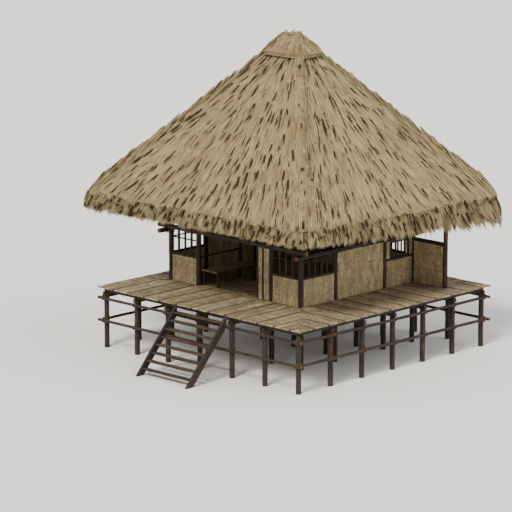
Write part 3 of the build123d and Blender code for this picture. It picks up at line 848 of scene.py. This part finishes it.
# window bars from sill to head, with one cross bar, and casings round the small windows
windowSetup = {
    "spacing": 0.29,
    "radius": 0.034,
    "wander": 0.02,
    "housed": 0.02,  # how far a bar goes into its rails
    "crossAside": 0.03,
    "crossHeight": 0.52,
    "crossFrom": 1.0,  # narrower windows have no cross bar
    "crossGirth": 0.8,
    "frame": 0.07,
    "frameSpacing": 0.15,
    "proud": 0.03,
    "seed": 61,
    "bar": {"Spacing": 0.12, "Sides": 8, "Bend": 0.004, "Uneven": 0.3, "Bark": 0.004, "Seed": 61.0},
}


def levelGap(a, b):
    # how far apart two places are, heights aside
    return np.linalg.norm((a - b)[:2])


def smallWindows(margin=0.12):
    # the panels round the small windows: their box, the opening's ends and lintel, the way outwards
    found = []
    for points in islands("small_window_panels"):
        low, high = boxOf(points)
        places = (np.unique(np.round(points[:, axis], 3)) for axis in (1, 2))
        ends, heights = (
            [value for value in values if low[axis] + margin < value < high[axis] - margin]
            for axis, values in enumerate(places, 1)
        )
        found.append((low, high, ends[0], ends[-1], heights[0], 1 if low[0] > 0 else -1))
    return found


def windowBays(near=0.35):
    # every window over a sill rail: its axis, its line, its two ends, its foot and its head
    heads = islands("head_rails")
    bays = []
    for points in islands("sill_rails"):
        low, high = boxOf(points)
        axis = 0 if high[0] - low[0] > high[1] - low[1] else 1
        middle = (low + high) / 2
        head = min(heads, key=lambda other: levelGap(sum(boxOf(other)) / 2, middle))
        opening = (low[axis], high[axis], high[2], head[:, 2].min())
        for panelLow, panelHigh, start, end, lintel, way in smallPanels:
            if levelGap((panelLow + panelHigh) / 2, middle) < near:
                opening = (start, end, high[2], lintel)
        bays.append((axis, middle[1 - axis], *opening))
    return bays


smallPanels = smallWindows()


def spotAt(axis, along, aside, height):
    return (along, aside, height) if axis == 0 else (aside, along, height)


def makeWindowBars(setup):
    rng = np.random.default_rng(setup["seed"])
    housed = setup["housed"]
    lines = []
    for axis, line, start, end, low, high in windowBays():
        count = max(2, round((end - start) / setup["spacing"]))
        for i in range(1, count):
            along = start + (end - start) * i / count + setup["wander"] * (rng.random() - 0.5)
            radius = setup["radius"] * (0.85 + 0.3 * rng.random())
            ends = (spotAt(axis, along, line, height) for height in (low - housed, high + housed))
            lines.append((*ends, radius, float(rng.random())))
        if end - start > setup["crossFrom"]:
            aside, height = line + setup["crossAside"], low + setup["crossHeight"]
            ends = (spotAt(axis, along, aside, height) for along in (start - housed, end + housed))
            lines.append((*ends, setup["radius"] * setup["crossGirth"], float(rng.random())))
    mesh = growMesh("windowBars", linesMesh("windowBars", lines), poleTree, "rail", setup["bar"])
    settle("windowBars", mesh, "poles")


def makeWindowFrames(setup):
    casings = {way: BoardSet(setup["seed"] + 1) for way in (1, -1)}
    casings[-1].rng = casings[1].rng  # both draw their tones from one row of numbers
    wide = setup["frame"]
    for low, high, y0, y1, top, way in smallPanels:
        x = (high[0] if way > 0 else low[0]) + way * setup["proud"]
        jambs = [(y, low[2], y + wide, top + wide) for y in (y0 - wide, y1)]
        for ya, za, yb, zb in (*jambs, (y0, top, y1, top + wide)):
            corners = [(x, ya, za), (x, yb, za), (x, yb, zb), (x, ya, zb)]
            if zb - za <= yb - ya:
                corners = corners[1:] + corners[:1]
            casings[way].add(corners if way > 0 else corners[::-1], setup["frameSpacing"])
    shape = {"thickness": setup["proud"] + 0.01, "waviness": 0.003}
    parts = [casings[way].grow("casing", "beam", direction=(-way, 0, 0), **shape) for way in (1, -1)]
    settle("windowCasings", joined("casing", parts), "poles")


makeWindowBars(windowSetup)
makeWindowFrames(windowSetup)


# straw: one clump of stalks, laid thousands of times on the slopes
strawSetup = {
    "dark": linear(52, 42, 22),
    "brown": linear(96, 80, 50),
    "khaki": linear(150, 133, 96),
    "pale": linear(184, 167, 130),
    "patchSize": 0.55,
    "bump": (0.01, 0.5),
    "baseBump": (0.03, 0.8),
    "stalkTone": 0.16,  # how much paler or darker: from stalk to stalk,
    "patchTone": 0.22,  # from patch to patch,
    "fineTone": 0.2,  # within a stalk,
    "strandTone": 0.16,  # from its root, in painted shade under the stalks above, to its tip,
    "baseTone": 0.12,  # and from tuft to tuft below the stalks
}


def strawRamp(value, look, stops):
    return value.ramp(*zip(stops, (look["dark"], look["brown"], look["khaki"], look["pale"])))


def strawMaterial(title, look, paintedShade):
    material, tree, shader = newMaterial(title)
    weather = tree.group(weatherGroup, {"Patch Size": look["patchSize"], "Damp Height": 0.01})
    fine = tree.objectPlace().noise(38.0, 3.0)
    value = tree.painted("tone") + (tree.painted("stalk") - 0.5) * look["stalkTone"]
    value = value + (weather["Patches"] - 0.5) * look["patchTone"]
    value = value + (fine - 0.5) * look["fineTone"]
    # painted shade: each stalk darker towards its root, which the stalks above cover
    value = value + (tree.painted("strand") - 0.6) * look["strandTone"]
    colour = strawRamp(value, look, (0.02, 0.26, 0.58, 0.95))
    # painted shade: the colour is scaled down by the last argument, for the eave fringe's darker copy of the
    # straw
    colour = tree.mix(1.0, colour, (paintedShade, paintedShade, paintedShade), blend="MULTIPLY")
    finishSurface(tree, shader, colour, fine, look["bump"], 0.9)
    shader.inputs["Specular IOR Level"].default_value = 0.25
    return material


def thatchBaseMaterial(title, look):
    # packed stalks that run down the slope: fine across it, long in height
    material, tree, shader = newMaterial(title)
    x, y, z = tree.objectPlace().parts()
    faceWay = tree.put("ShaderNodeNewGeometry", output="True Normal").parts()
    turned = tree.math("GREATER_THAN", *(tree.math("ABSOLUTE", part) for part in faceWay[:2]))
    combed = tree.xyz(tree.mix(turned, x, y, "FLOAT") * 46.0, turned * 9.0, z * 3.0)
    stalks = combed.noise(1.0, 5.0, 0.65)
    tufts = (combed * (0.14, 1.0, 0.9)).cells(1.0)
    colour = strawRamp(stalks + (tufts - 0.45) * look["baseTone"], look, (0.28, 0.42, 0.56, 0.8))
    finishSurface(tree, shader, colour, stalks, look["baseBump"], 0.95)
    return material


materials["straw"] = strawMaterial("weatheredStraw", strawSetup, 1.0)
# the eave fringe: the same straw with painted shade, its colour scaled by 0.72
materials["fringe"] = strawMaterial("shadedEaveStraw", strawSetup, 0.72)
materials["thatchBase"] = thatchBaseMaterial("packedThatch", strawSetup)


def strawClump(title, count, spread, radius, seed):
    # three-sided stalks that end near the origin and start one unit back along Y
    rng = np.random.default_rng(seed)
    points, faces, strand, stalk = [], [], [], []
    for i in range(count):
        x = spread * ((i + 0.5) / count - 0.5) + 0.25 * spread / count * (rng.random() - 0.5)
        back, tip = -1.0 + 0.12 * rng.random(), -0.30 * rng.random()
        level = 0.5 * radius * (rng.random() - 0.5)
        lean = 0.35 * spread * (rng.random() - 0.5)
        tone = float(rng.random())
        first = len(points)
        for share, size in ((0.0, radius), (0.62, radius * 1.05)):
            for k in range(3):
                turn = math.pi / 2 + k * 2 * math.pi / 3
                side = x + lean * share + math.cos(turn) * size
                points.append((side, back + (tip - back) * share, level + 0.5 * math.sin(turn) * size))
                strand.append(share)
        points.append((x + lean, tip, level))
        strand.append(1.0)
        stalk += [tone] * 7
        ring = [(first + k, first + (k + 1) % 3) for k in range(3)]
        faces += [(a, a + 3, b + 3, b) for a, b in ring]
        faces.append((first, first + 1, first + 2))
        faces += [(a + 3, first + 6, b + 3) for a, b in ring]
    return meshOf(title, points, (), faces, strand=strand, stalk=stalk)


def buildThatchTree():
    lines = ("Eave Start", "Eave End", "Ridge Start", "Ridge End", "Facing")
    tree = geometryTree("strawOnSlope", {
        "Columns": 60, "Rows": 60, **dict.fromkeys(lines, "Vector"),
        "Low": 0.0, "High": 0.95, "Eave Rounding": 0.62, "Ridge Rounding": 0.15,
        "Length": 0.7, "Length Spread": 0.3, "Width": 1.0,
        "Lift": 0.02, "Lift Spread": 0.03, "Tilt": 0.07, "Tilt Spread": 0.06, "Skew": 0.12,
        "Tone Low": 0.4, "Tone High": 0.9, "Keep": 1.0,
        "Drop": 0.0, "Drop End": 0.0, "Fan": 0.0, "Fan End": 0.0, "Seed": 1,
    })
    eaveStart, eaveEnd, ridgeStart, ridgeEnd, facing = (tree[name] for name in lines)

    def draw(order, low=-1.0, high=1.0):
        return tree.random(low, high, tree["Seed"] * 17.0 + float(order))

    def scattered(spot, order, count):
        # a place in the grid from 0 to 1, moved at random within its cell
        spot = spot + (0.5 + draw(order, -0.7, 0.7) / tree[count])
        return tree.math("MINIMUM", tree.math("MAXIMUM", spot, 0.0), 1.0)

    size = {"Size X": 1.0, "Size Y": 1.0, "Vertices X": tree["Columns"], "Vertices Y": tree["Rows"]}
    spots = tree.put("GeometryNodeMeshGrid", size, "Mesh").then("GeometryNodeMeshToPoints", {"Radius": 0.01})
    x, y, z = tree.position().parts()
    spots = spots.store("across", scattered(x, 1, "Columns"))
    spots = spots.store("up", blend(scattered(y, 2, "Rows"), tree["Low"], tree["High"]))
    across, up = tree.attribute("across"), tree.attribute("up")

    # the rows get shorter towards the ridge, so fewer clumps are kept there
    eaveSpan = eaveEnd - eaveStart
    eaveLength = eaveSpan.length()
    rowLength = blend(up, eaveLength, (ridgeEnd - ridgeStart).length())
    values = {0: draw(3, 0.0, 1.0), 1: tree["Keep"] * (rowLength / eaveLength)}
    drop = tree.put("FunctionNodeCompare", values, data_type="FLOAT", operation="GREATER_THAN")
    spots = spots.then("GeometryNodeDeleteGeometry", {"Selection": drop}, domain="POINT")

    # each hip is rounded: the place moves in along a quarter circle near both ends of a row
    low = tree.mix(across, eaveStart, eaveEnd, "VECTOR")
    high = tree.mix(across, ridgeStart, ridgeEnd, "VECTOR")
    down = (low - high).unit()
    side = eaveSpan.unit()
    toEnd = tree.math("MINIMUM", across, 1.0 - across) * rowLength
    rounding = blend(up, tree["Eave Rounding"], tree["Ridge Rounding"])
    shifted = tree.math("MAXIMUM", toEnd, rounding * 0.293)  # half of the quarter circle
    rest = tree.math("MAXIMUM", rounding - shifted, 0.0)
    depth = tree.math("MAXIMUM", rounding * rounding - rest * rest, 0.0)
    inward = rounding - tree.math("SQRT", depth)
    middleWay = tree.math("SIGN", 0.5 - across)
    level = (facing * (1.0, 1.0, 0.0)).unit()
    place = tree.mix(up, low, high, "VECTOR") - level.scaled(inward)
    place = place + side.scaled(middleWay * (shifted - toEnd))
    lean = middleWay * -0.75 * (rest / tree.math("MAXIMUM", rounding, 0.01))
    outwards = (facing + side.scaled(lean)).unit()
    place = place + outwards.scaled(tree["Lift"] + tree["Lift Spread"] * draw(4))
    fall = blend(across, tree["Drop"], tree["Drop End"]) * draw(11, 0.25, 1.0)
    spots = spots.moved(Position=place + down.scaled(fall))

    pitch = tree["Tilt"] + tree["Tilt Spread"] * draw(5)
    yaw = tree["Skew"] * draw(6) + blend(across, tree["Fan"], tree["Fan End"])
    turn = tree.turned(tree.facing(outwards, down), tree.xyz(pitch, draw(7, -0.35, 0.35), yaw))
    length = tree["Length"] * (1.0 + tree["Length Spread"] * draw(8))
    length = tree.math("MULTIPLY_ADD", fall, 0.6, length)
    width = tree["Width"] * draw(9, 0.75, 1.3)
    tone = draw(10, tree["Tone Low"], tree["Tone High"])
    laid = tree.lay(spots, tree["Geometry"], turn, tree.xyz(width, length, width), tone)
    return tree.finishMesh(laid, "across", "up")


thatchTree = buildThatchTree()

roofSetup = {
    "pitch": 47.0,
    "thickness": 0.285,
    "clump": {"count": 5, "spread": 0.17, "radius": 0.019, "seed": 71},
    "straw": {
        "Columns": 88, "Rows": 52, "Low": -0.016, "High": 0.93,
        "Length": 0.75, "Length Spread": 0.3, "Lift": -0.016, "Lift Spread": 0.012,
        "Tilt": 0.02, "Tilt Spread": 0.025, "Skew": 0.10, "Tone Low": 0.5, "Tone High": 0.78,
    },
    "streak": {
        "Columns": 34, "Rows": 15, "High": 0.93, "Width": 0.45, "Keep": 0.9,
        "Length": 0.62, "Length Spread": 0.35, "Lift": 0.012, "Lift Spread": 0.006,
        "Tilt": 0.02, "Tilt Spread": 0.015, "Skew": 0.12, "Tone Low": -0.35, "Tone High": -0.1,
    },
    "fringe": {
        "Columns": 104, "Rows": 6, "Low": 0.0, "High": 0.7, "Ridge Rounding": 0.62,
        "Length": 0.27, "Length Spread": 0.3, "Lift": -0.01, "Lift Spread": 0.035,
        "Tilt": 0.1, "Tilt Spread": 0.12, "Skew": 0.12, "Tone Low": 0.42, "Tone High": 0.85,
    },
    "fringeStreak": {
        "Columns": 44, "Rows": 3, "Low": 0.1, "High": 0.75, "Width": 0.5, "Keep": 0.8,
        "Lift": 0.04, "Lift Spread": 0.01, "Tilt": 0.12, "Tilt Spread": 0.05,
        "Tone Low": -0.3, "Tone High": 0.0,
    },
    "stand": 0.02,  # the fringe in front of the eave
    "slant": 0.26,  # how far the hanging straw leans outwards
    "fan": {"stair": (-0.6, 0.0), "right": (0.0, 0.6), "rear": (-0.6, 0.0), "left": (0.0, 0.6)},
    "hang": {"stair": (0.24, 0.11), "right": (0.11, 0.85), "rear": (0.85, 0.22), "left": (0.22, 0.24)},
}


def roofShape(setup):
    # the outline of the eaves, the two ends of the ridge, and the three heights
    low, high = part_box("thatch_stair_side")[0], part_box("thatch_rear_side")[1]
    left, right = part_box("thatch_left_side")[0].x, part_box("thatch_right_side")[1].x
    pitch = math.radians(setup["pitch"])
    half = (high.y - low.y) / 2
    middle = (low.y + high.y) / 2
    top = low.z + setup["thickness"] / math.cos(pitch)
    ridge = ((left + half, middle), (right - half, middle))
    return (left, low.y, right, high.y), ridge, (low.z, top, top + half * math.tan(pitch))


def slopeLines(outline, ridge):
    # for each side: the ends of its eave, the ends of its ridge
    left, front, right, back = outline
    a, b, c, d = (left, front), (right, front), (right, back), (left, back)
    r0, r1 = ridge
    return {"stair": (a, b, r0, r1), "right": (b, c, r1, r1), "rear": (c, d, r1, r0), "left": (d, a, r0, r0)}


def slopePlace(lines, heights, facing):
    ends = zip(("Eave Start", "Eave End", "Ridge Start", "Ridge End"), lines, np.repeat(heights, 2))
    return {**{name: (*end, float(height)) for name, end, height in ends}, "Facing": facing}


def stepOut(point, way, amount):
    return point[0] + way[0] * amount, point[1] + way[1] * amount


def makeThatch(setup):
    outline, ridge, (low, top, ridgeTop) = roofShape(setup)
    pitch = math.radians(setup["pitch"])
    clump = strawClump("strawClump", **setup["clump"])
    spring = setup["stand"] + setup["slant"] * setup["thickness"] / math.cos(pitch)
    fringes = []
    for order, (side, lines) in enumerate(slopeLines(outline, ridge).items()):
        way = sideWays[side]
        facing = (way[0] * math.sin(pitch), way[1] * math.sin(pitch), math.cos(pitch))
        place = slopePlace(lines, (top, ridgeTop), facing)
        parts = []
        for index, layer in enumerate(("straw", "streak")):
            values = {**setup[layer], **place, "Seed": 100 + 10 * order + index}
            parts.append(growMesh("straw", clump, thatchTree, "straw", values))
        settle(f"thatchStraw{side.capitalize()}", joined("straw", parts), "thatch")

        # the fringe hangs from the eave's upper edge and leans out towards its lower one
        feet = [stepOut(point, way, amount) for amount in (spring, setup["stand"]) for point in lines[:2]]
        place = slopePlace(feet, (low, top), (float(way[0]), float(way[1]), 0.15))
        values = {**setup["fringe"], **place}
        values["Drop"], values["Drop End"] = setup["hang"][side]
        values["Fan"], values["Fan End"] = setup["fan"][side]
        for layer, seed in ((setup["fringe"], 200), (setup["fringeStreak"], 240)):
            values = {**values, **layer, "Seed": seed + order}
            fringes.append(growMesh("fringe", clump, thatchTree, "fringe", values))
    settle("eaveFringe", joined("fringe", fringes), "thatch", "eave_fringe")


makeThatch(roofSetup)


# straw draped over the ridge cap, from a little below its rim
capSetup = {
    "rise": 0.05,
    "clump": {"count": 5, "spread": 0.15, "radius": 0.018, "seed": 73},
    "drape": {
        "Columns": 26, "Rows": 9, "Low": -0.16, "High": 0.5, "Eave Rounding": 0.38, "Ridge Rounding": 0.1,
        "Length": 0.4, "Length Spread": 0.25, "Lift": 0.015, "Lift Spread": 0.015,
        "Tilt": 0.03, "Tilt Spread": 0.05, "Skew": 0.16, "Tone Low": 0.4, "Tone High": 0.85,
    },
}


def makeRidgeCap(setup):
    low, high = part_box("ridge_cap")
    edge = low.z + setup["rise"]
    rise = high.z - edge
    clump = strawClump("capClump", **setup["clump"])
    lines = slopeLines((low.x, low.y, high.x, high.y), roofShape(roofSetup)[1])
    parts = []
    for index, (side, (start, end, ridgeStart, ridgeEnd)) in enumerate(lines.items()):
        way = sideWays[side]
        reach = abs((start[0] - ridgeStart[0]) * way[0] + (start[1] - ridgeStart[1]) * way[1])
        size = math.hypot(rise, reach)
        facing = (way[0] * rise / size, way[1] * rise / size, reach / size)
        place = slopePlace((start, end, ridgeStart, ridgeEnd), (edge, high.z), facing)
        values = {**setup["drape"], **place, "Seed": 300 + index}
        parts.append(growMesh("cap", clump, thatchTree, "straw", values))
    settle("ridgeStraw", joined("cap", parts), "thatch")


makeRidgeCap(capSetup)
print("thatch done")


# woven split bamboo on the wall panels
matSetup = {"cell": 0.085, "strip": 0.42, "crown": 0.05, "over": 0.09, "stand": 0.012, "seed": 81}


def weaveTile(cell, strip, crown, over):
    # one strip over and one under, each from edge to edge of a unit square
    points, faces, grain = [], [], []
    for under, height in enumerate((over, -over * 0.6)):
        first = len(points)
        for i in range(3):
            for j in range(3):
                u, v = (j - 1) * strip, (i - 1) * 0.5
                z = (height if i == 1 else 0.0) - (crown if j != 1 else 0.0)
                points.append((-v, u, z) if under else (u, v, z))
                grain.append((u * cell, 0.0, v * cell))
        faces += [(k, k + 1, k + 4, k + 3) for k in (first, first + 1, first + 3, first + 4)]
    # edge runs from -1 to 1 across each strip; the material paints shade along its edges
    return meshOf("weaveTile", points, (), faces, grain=grain, edge=[-1.0, 0.0, 1.0] * 6)


def buildMatTree():
    inputs = {**dict.fromkeys(("Corner", "Along", "Facing"), "Vector"), "Width": 1.0, "Height": 1.0}
    tree = geometryTree("wovenMat", {**inputs, "Cell": 0.08, "Seed": 1})
    wide, high = tree["Width"], tree["Height"]
    columns, rows = (
        tree.math("MAXIMUM", tree.math("ROUND", size / tree["Cell"]), 2.0) for size in (wide, high)
    )
    cellWide, cellHigh = wide / columns, high / rows
    size = {"Size X": wide - cellWide, "Size Y": high - cellHigh, "Vertices X": columns, "Vertices Y": rows}
    grid = tree.put("GeometryNodeMeshGrid", size, "Mesh")
    x, y, z = tree.position().parts()
    place = tree["Corner"] + tree["Along"].scaled(x + wide * 0.5) + tree.xyz(0.0, 0.0, y + high * 0.5)

    # every second tile is turned a quarter, so that the strips go over and under
    index = tree.put("GeometryNodeInputIndex")
    column = tree.math("FLOOR", (index + 0.5) / rows)
    odd = tree.math("FLOORED_MODULO", column + (index - column * rows), 2.0)
    spots = grid.store("odd", odd).moved(Position=place)
    turn = tree.facing(tree["Facing"], (0.0, 0.0, 1.0))
    turn = tree.turned(turn, tree.xyz(0.0, 0.0, tree.attribute("odd") * (math.pi / 2)))
    size = tree.math("MAXIMUM", cellWide, cellHigh) * 1.01
    tone = tree.random(0.0, 1.0, tree["Seed"])
    laid = tree.lay(spots, tree["Geometry"], turn, tree.xyz(size, size, size), tone)
    slide = tree.xyz(0.0, 0.0, tree.attribute("tone") * 31.0)
    laid = laid.store("grain", tree.attribute("grain", "FLOAT_VECTOR") + slide, "FLOAT_VECTOR")
    return tree.finishMesh(laid, "odd")


matTree = buildMatTree()


def matPanels():
    # each panel: (low corner, high corner, outward direction)
    found = []
    for side, way in sideWays.items():
        found += [(*boxOf(points), way) for points in islands(f"wall_{side}_side")]
    for low, high, y0, y1, lintel, way in smallPanels:
        found.append((low, (high[0], y0, high[2]), (way, 0)))
        found.append(((low[0], y1, low[2]), high, (way, 0)))
        found.append(((low[0], y0, lintel), (high[0], y1, high[2]), (way, 0)))
    return found + [(*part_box("side_screen"), (0, way)) for way in (1, -1)]


def makeMats(cell, strip, crown, over, stand, seed):
    tile = weaveTile(cell, strip, crown, over)
    parts = []
    for index, (low, high, way) in enumerate(matPanels()):
        out = 0 if way[0] else 1  # the axis the panel faces along
        along = [0.0, 0.0, 0.0]
        along[1 - out] = float(way[0] - way[1])
        corner = list(low)
        corner[out] = high[out] + stand if way[out] > 0 else low[out] - stand
        corner[1 - out] = low[1 - out] if along[1 - out] > 0 else high[1 - out]
        values = {
            "Corner": tuple(map(float, corner)), "Along": tuple(along), "Facing": (*map(float, way), 0.0),
            "Width": float(high[1 - out] - low[1 - out]), "Height": float(high[2] - low[2]),
            "Cell": cell, "Seed": seed + index,
        }
        parts.append(growMesh("mat", tile, matTree, "wall", values))
    settle("wallMats", joined("mat", parts), "wall_panels")


makeMats(**matSetup)
print("mats done")


# fibre lashings where rails and head logs cross the posts
lashSetup = {
    "rope": 0.008,
    "turns": 3,
    "pitch": 0.018,
    "points": 14,
    "sides": 4,
    "slip": 0.2,  # how far a turn starts past the one before it
    "oval": 1.3,  # a band is longer across the timber, as it goes round at a slant
    "over": 1.6,  # the outer band, in rope radii off the inner one
    "loose": 0.03,  # how far apart post and log may be
    "past": 0.12,  # how far past a log's end a post may stand
    "least": 0.05,  # a log nearer to the post's axis goes through it
    "above": 0.05,  # how far above a post's top a log may lie
    "seed": 83,
    "crossings": {
        "railLashing": {
            "posts": ("deck_posts",), "rails": ("upper_rails", "lower_rails"),
            "postRadius": 0.09, "railRadius": 0.052,
        },
        "headLashing": {
            "posts": ("corner_posts", "wall_posts"), "rails": ("head_logs",),
            "postRadius": 0.09, "railRadius": 0.085,
        },
    },
}


def lashingMesh(title, postRadius, railRadius, setup):
    # two crossed bands round an upright at the origin and a level log outside it, on +Y
    points, faces, along = [], [], []
    apart = postRadius + railRadius
    count, sides, rope, oval = setup["points"], setup["sides"], setup["rope"], setup["oval"]
    outward = Vector((0, 1, 0))
    for cross, extra in ((1, 0.0), (-1, rope * setup["over"])):
        # the loop is the hull of two ellipses, one round each timber
        a, b = postRadius + extra, postRadius * oval + extra
        c, e = railRadius + extra, railRadius * oval + extra
        side = Vector((1, 0, cross)).normalized()
        normal = outward.cross(side)
        for turn in range(setup["turns"]):
            shift = (turn - (setup["turns"] - 1) / 2) * setup["pitch"]
            first = len(points)
            for i in range(count):
                angle = 2 * math.pi * i / count + setup["slip"] * turn
                u, v = math.cos(angle), math.sin(angle)
                postReach, railReach = math.hypot(a * u, b * v), math.hypot(c * u, e * v)
                if apart * u + railReach > postReach:
                    spot = (apart + c * c * u / railReach, e * e * v / railReach)
                else:
                    spot = (a * a * u / postReach, b * b * v / postReach)
                centre = outward * spot[0] + side * spot[1] + normal * shift
                out = outward * u + side * v
                for k in range(sides):
                    angle = 2 * math.pi * k / sides
                    points.append(centre + (out * math.cos(angle) + normal * math.sin(angle)) * rope)
                    along.append(i / count + turn)
            for i in range(count):
                here, after = first + i * sides, first + (i + 1) % count * sides
                for k in range(sides):
                    beside = (k + 1) % sides
                    faces.append((here + k, after + k, after + beside, here + beside))
    mesh = meshOf(title, points, (), faces, along=along)
    mesh.shade_smooth()
    return mesh


def buildLashTree():
    tree = geometryTree("lashedCrossings", {"Lashing": "Object", "Wander": 0.08, "Seed": 1})
    values = {"Object": tree["Lashing"]}
    shape = tree.put("GeometryNodeObjectInfo", values, "Geometry", transform_space="ORIGINAL")
    turn = tree.facing((0.0, 0.0, 1.0), tree.attribute("outward", "FLOAT_VECTOR"))
    size = tree.random(1.0, 1.0 + tree["Wander"], tree["Seed"])
    tone = tree.random(0.0, 1.0, tree["Seed"] + 5.0)
    return tree.finishMesh(tree.lay(tree["Geometry"], shape, turn, tree.xyz(size, 1.0, size), tone))


lashTree = buildLashTree()


def ropeMaterial():
    material, tree, shader = newMaterial("palmFibreRope")
    fibre = tree.objectPlace().noise(160.0, 3.0)
    twist = tree.math("SINE", tree.painted("along") * 190.0 + fibre * 4.0)
    strands = tree.math("MULTIPLY_ADD", twist, 0.5, 0.5)
    stops = ((0.2, linear(34, 25, 15)), (0.5, linear(70, 52, 32)), (0.8, linear(112, 88, 56)))
    finishSurface(tree, shader, (strands * 0.5 + fibre * 0.5).ramp(*stops), strands, (0.003, 0.6), 0.9)
    return material


materials["rope"] = ropeMaterial()


def crossings(postNodes, railNodes, reach, past, least, above):
    # where a level log passes an upright: its place on the post's axis and the way outwards
    spots, ways = [], []
    posts = [poleLine(points) for name in postNodes for points in islands(name)]
    rails = [poleLine(points) for name in railNodes for points in islands(name)]
    for start, end, railRadius in rails:
        size = np.linalg.norm(end - start)
        along = (end - start) / size
        for low, high, postRadius in posts:
            travelled = np.dot(low - start, along)
            foot = start + along * travelled
            gap = np.array((foot[0] - low[0], foot[1] - low[1], 0.0))
            apart = np.linalg.norm(gap)
            beside = -past < travelled < size + past and least < apart < reach
            if beside and low[2] < start[2] < high[2] + above:
                spots.append((low[0], low[1], start[2]))
                ways.append(gap / apart)
    return spots, ways


def makeLashings(setup):
    parts = []
    for index, (title, group) in enumerate(setup["crossings"].items()):
        radii = (group["postRadius"], group["railRadius"])
        limits = [setup[name] for name in ("past", "least", "above")]
        spots, ways = crossings(group["posts"], group["rails"], sum(radii) + setup["loose"], *limits)
        shape = linkObject(title, lashingMesh(title, *radii, setup))
        values = {"Lashing": shape, "Seed": setup["seed"] + index}
        parts.append(growMesh(title, meshOf(title + "Spots", spots, outward=ways), lashTree, "rope", values))
        bpy.data.objects.remove(shape)
    settle("fibreLashings", joined("lash", parts), "poles")


makeLashings(lashSetup)
print("lashings done")


# CAD pieces that stay, with their own finish
wallNodes, thatchNodes = ([f"{part}_{side}_side" for side in sideWays] for part in ("wall", "thatch"))
keptLooks = {
    "plainBeam": (
        "corner_bearers", "deck_bearers", "deck_girts", "floor_joists", "floor_ledgers", "bench_legs",
    ),
    "plainBoard": ("side_screen",),
    "plainWall": (*wallNodes, "small_window_panels"),
    "thatchBase": (*thatchNodes, "ridge_cap"),
}
for look, names in keptLooks.items():
    for name in names:
        nodes[name].data.materials.clear()
        nodes[name].data.materials.append(materials[look])
print("kept CAD pieces finished")


# studio: pale floor, one soft key, open fill; a lamp's turn starts at the camera
studioSetup = {
    "floor": linear(242, 240, 234),
    "floorReach": 260.0,
    "world": linear(238, 239, 241),
    "worldStrength": 1.0,
    "keyLight": {"turn": -28.0, "height": 48.0, "strength": 3.3, "angle": 16.0, "colour": (1.0, 0.965, 0.91)},
    "fillLight": {"turn": 75.0, "height": 30.0, "strength": 0.9, "angle": 50.0, "colour": (0.93, 0.96, 1.0)},
}


def addSun(title, setup):
    data = bpy.data.lights.new(title, "SUN")
    data.energy = setup["strength"]
    data.angle = math.radians(setup["angle"])
    data.color = setup["colour"]
    aim(bpy.data.objects.new(title, data), wayTo(cameraSetup["azimuth"] + setup["turn"], setup["height"]))


def makeStudio(setup):
    material, tree, shader = newMaterial("paleFloor")
    shader.inputs["Base Color"].default_value = (*setup["floor"], 1.0)
    shader.inputs["Roughness"].default_value = 0.95
    reach = setup["floorReach"]
    corners = [(-reach, -reach, 0), (reach, -reach, 0), (reach, reach, 0), (-reach, reach, 0)]
    mesh = meshOf("studioFloor", corners, (), [(0, 1, 2, 3)])
    mesh.materials.append(material)
    floor = linkObject("studioFloor", mesh)
    world = bpy.data.worlds.new("studioWorld")
    world.use_nodes = True
    background = world.node_tree.nodes["Background"].inputs
    background["Color"].default_value = (*setup["world"], 1.0)
    background["Strength"].default_value = setup["worldStrength"]
    scene.world = world
    for title in ("keyLight", "fillLight"):
        addSun(title, setup[title])


makeStudio(studioSetup)
print("studio done")
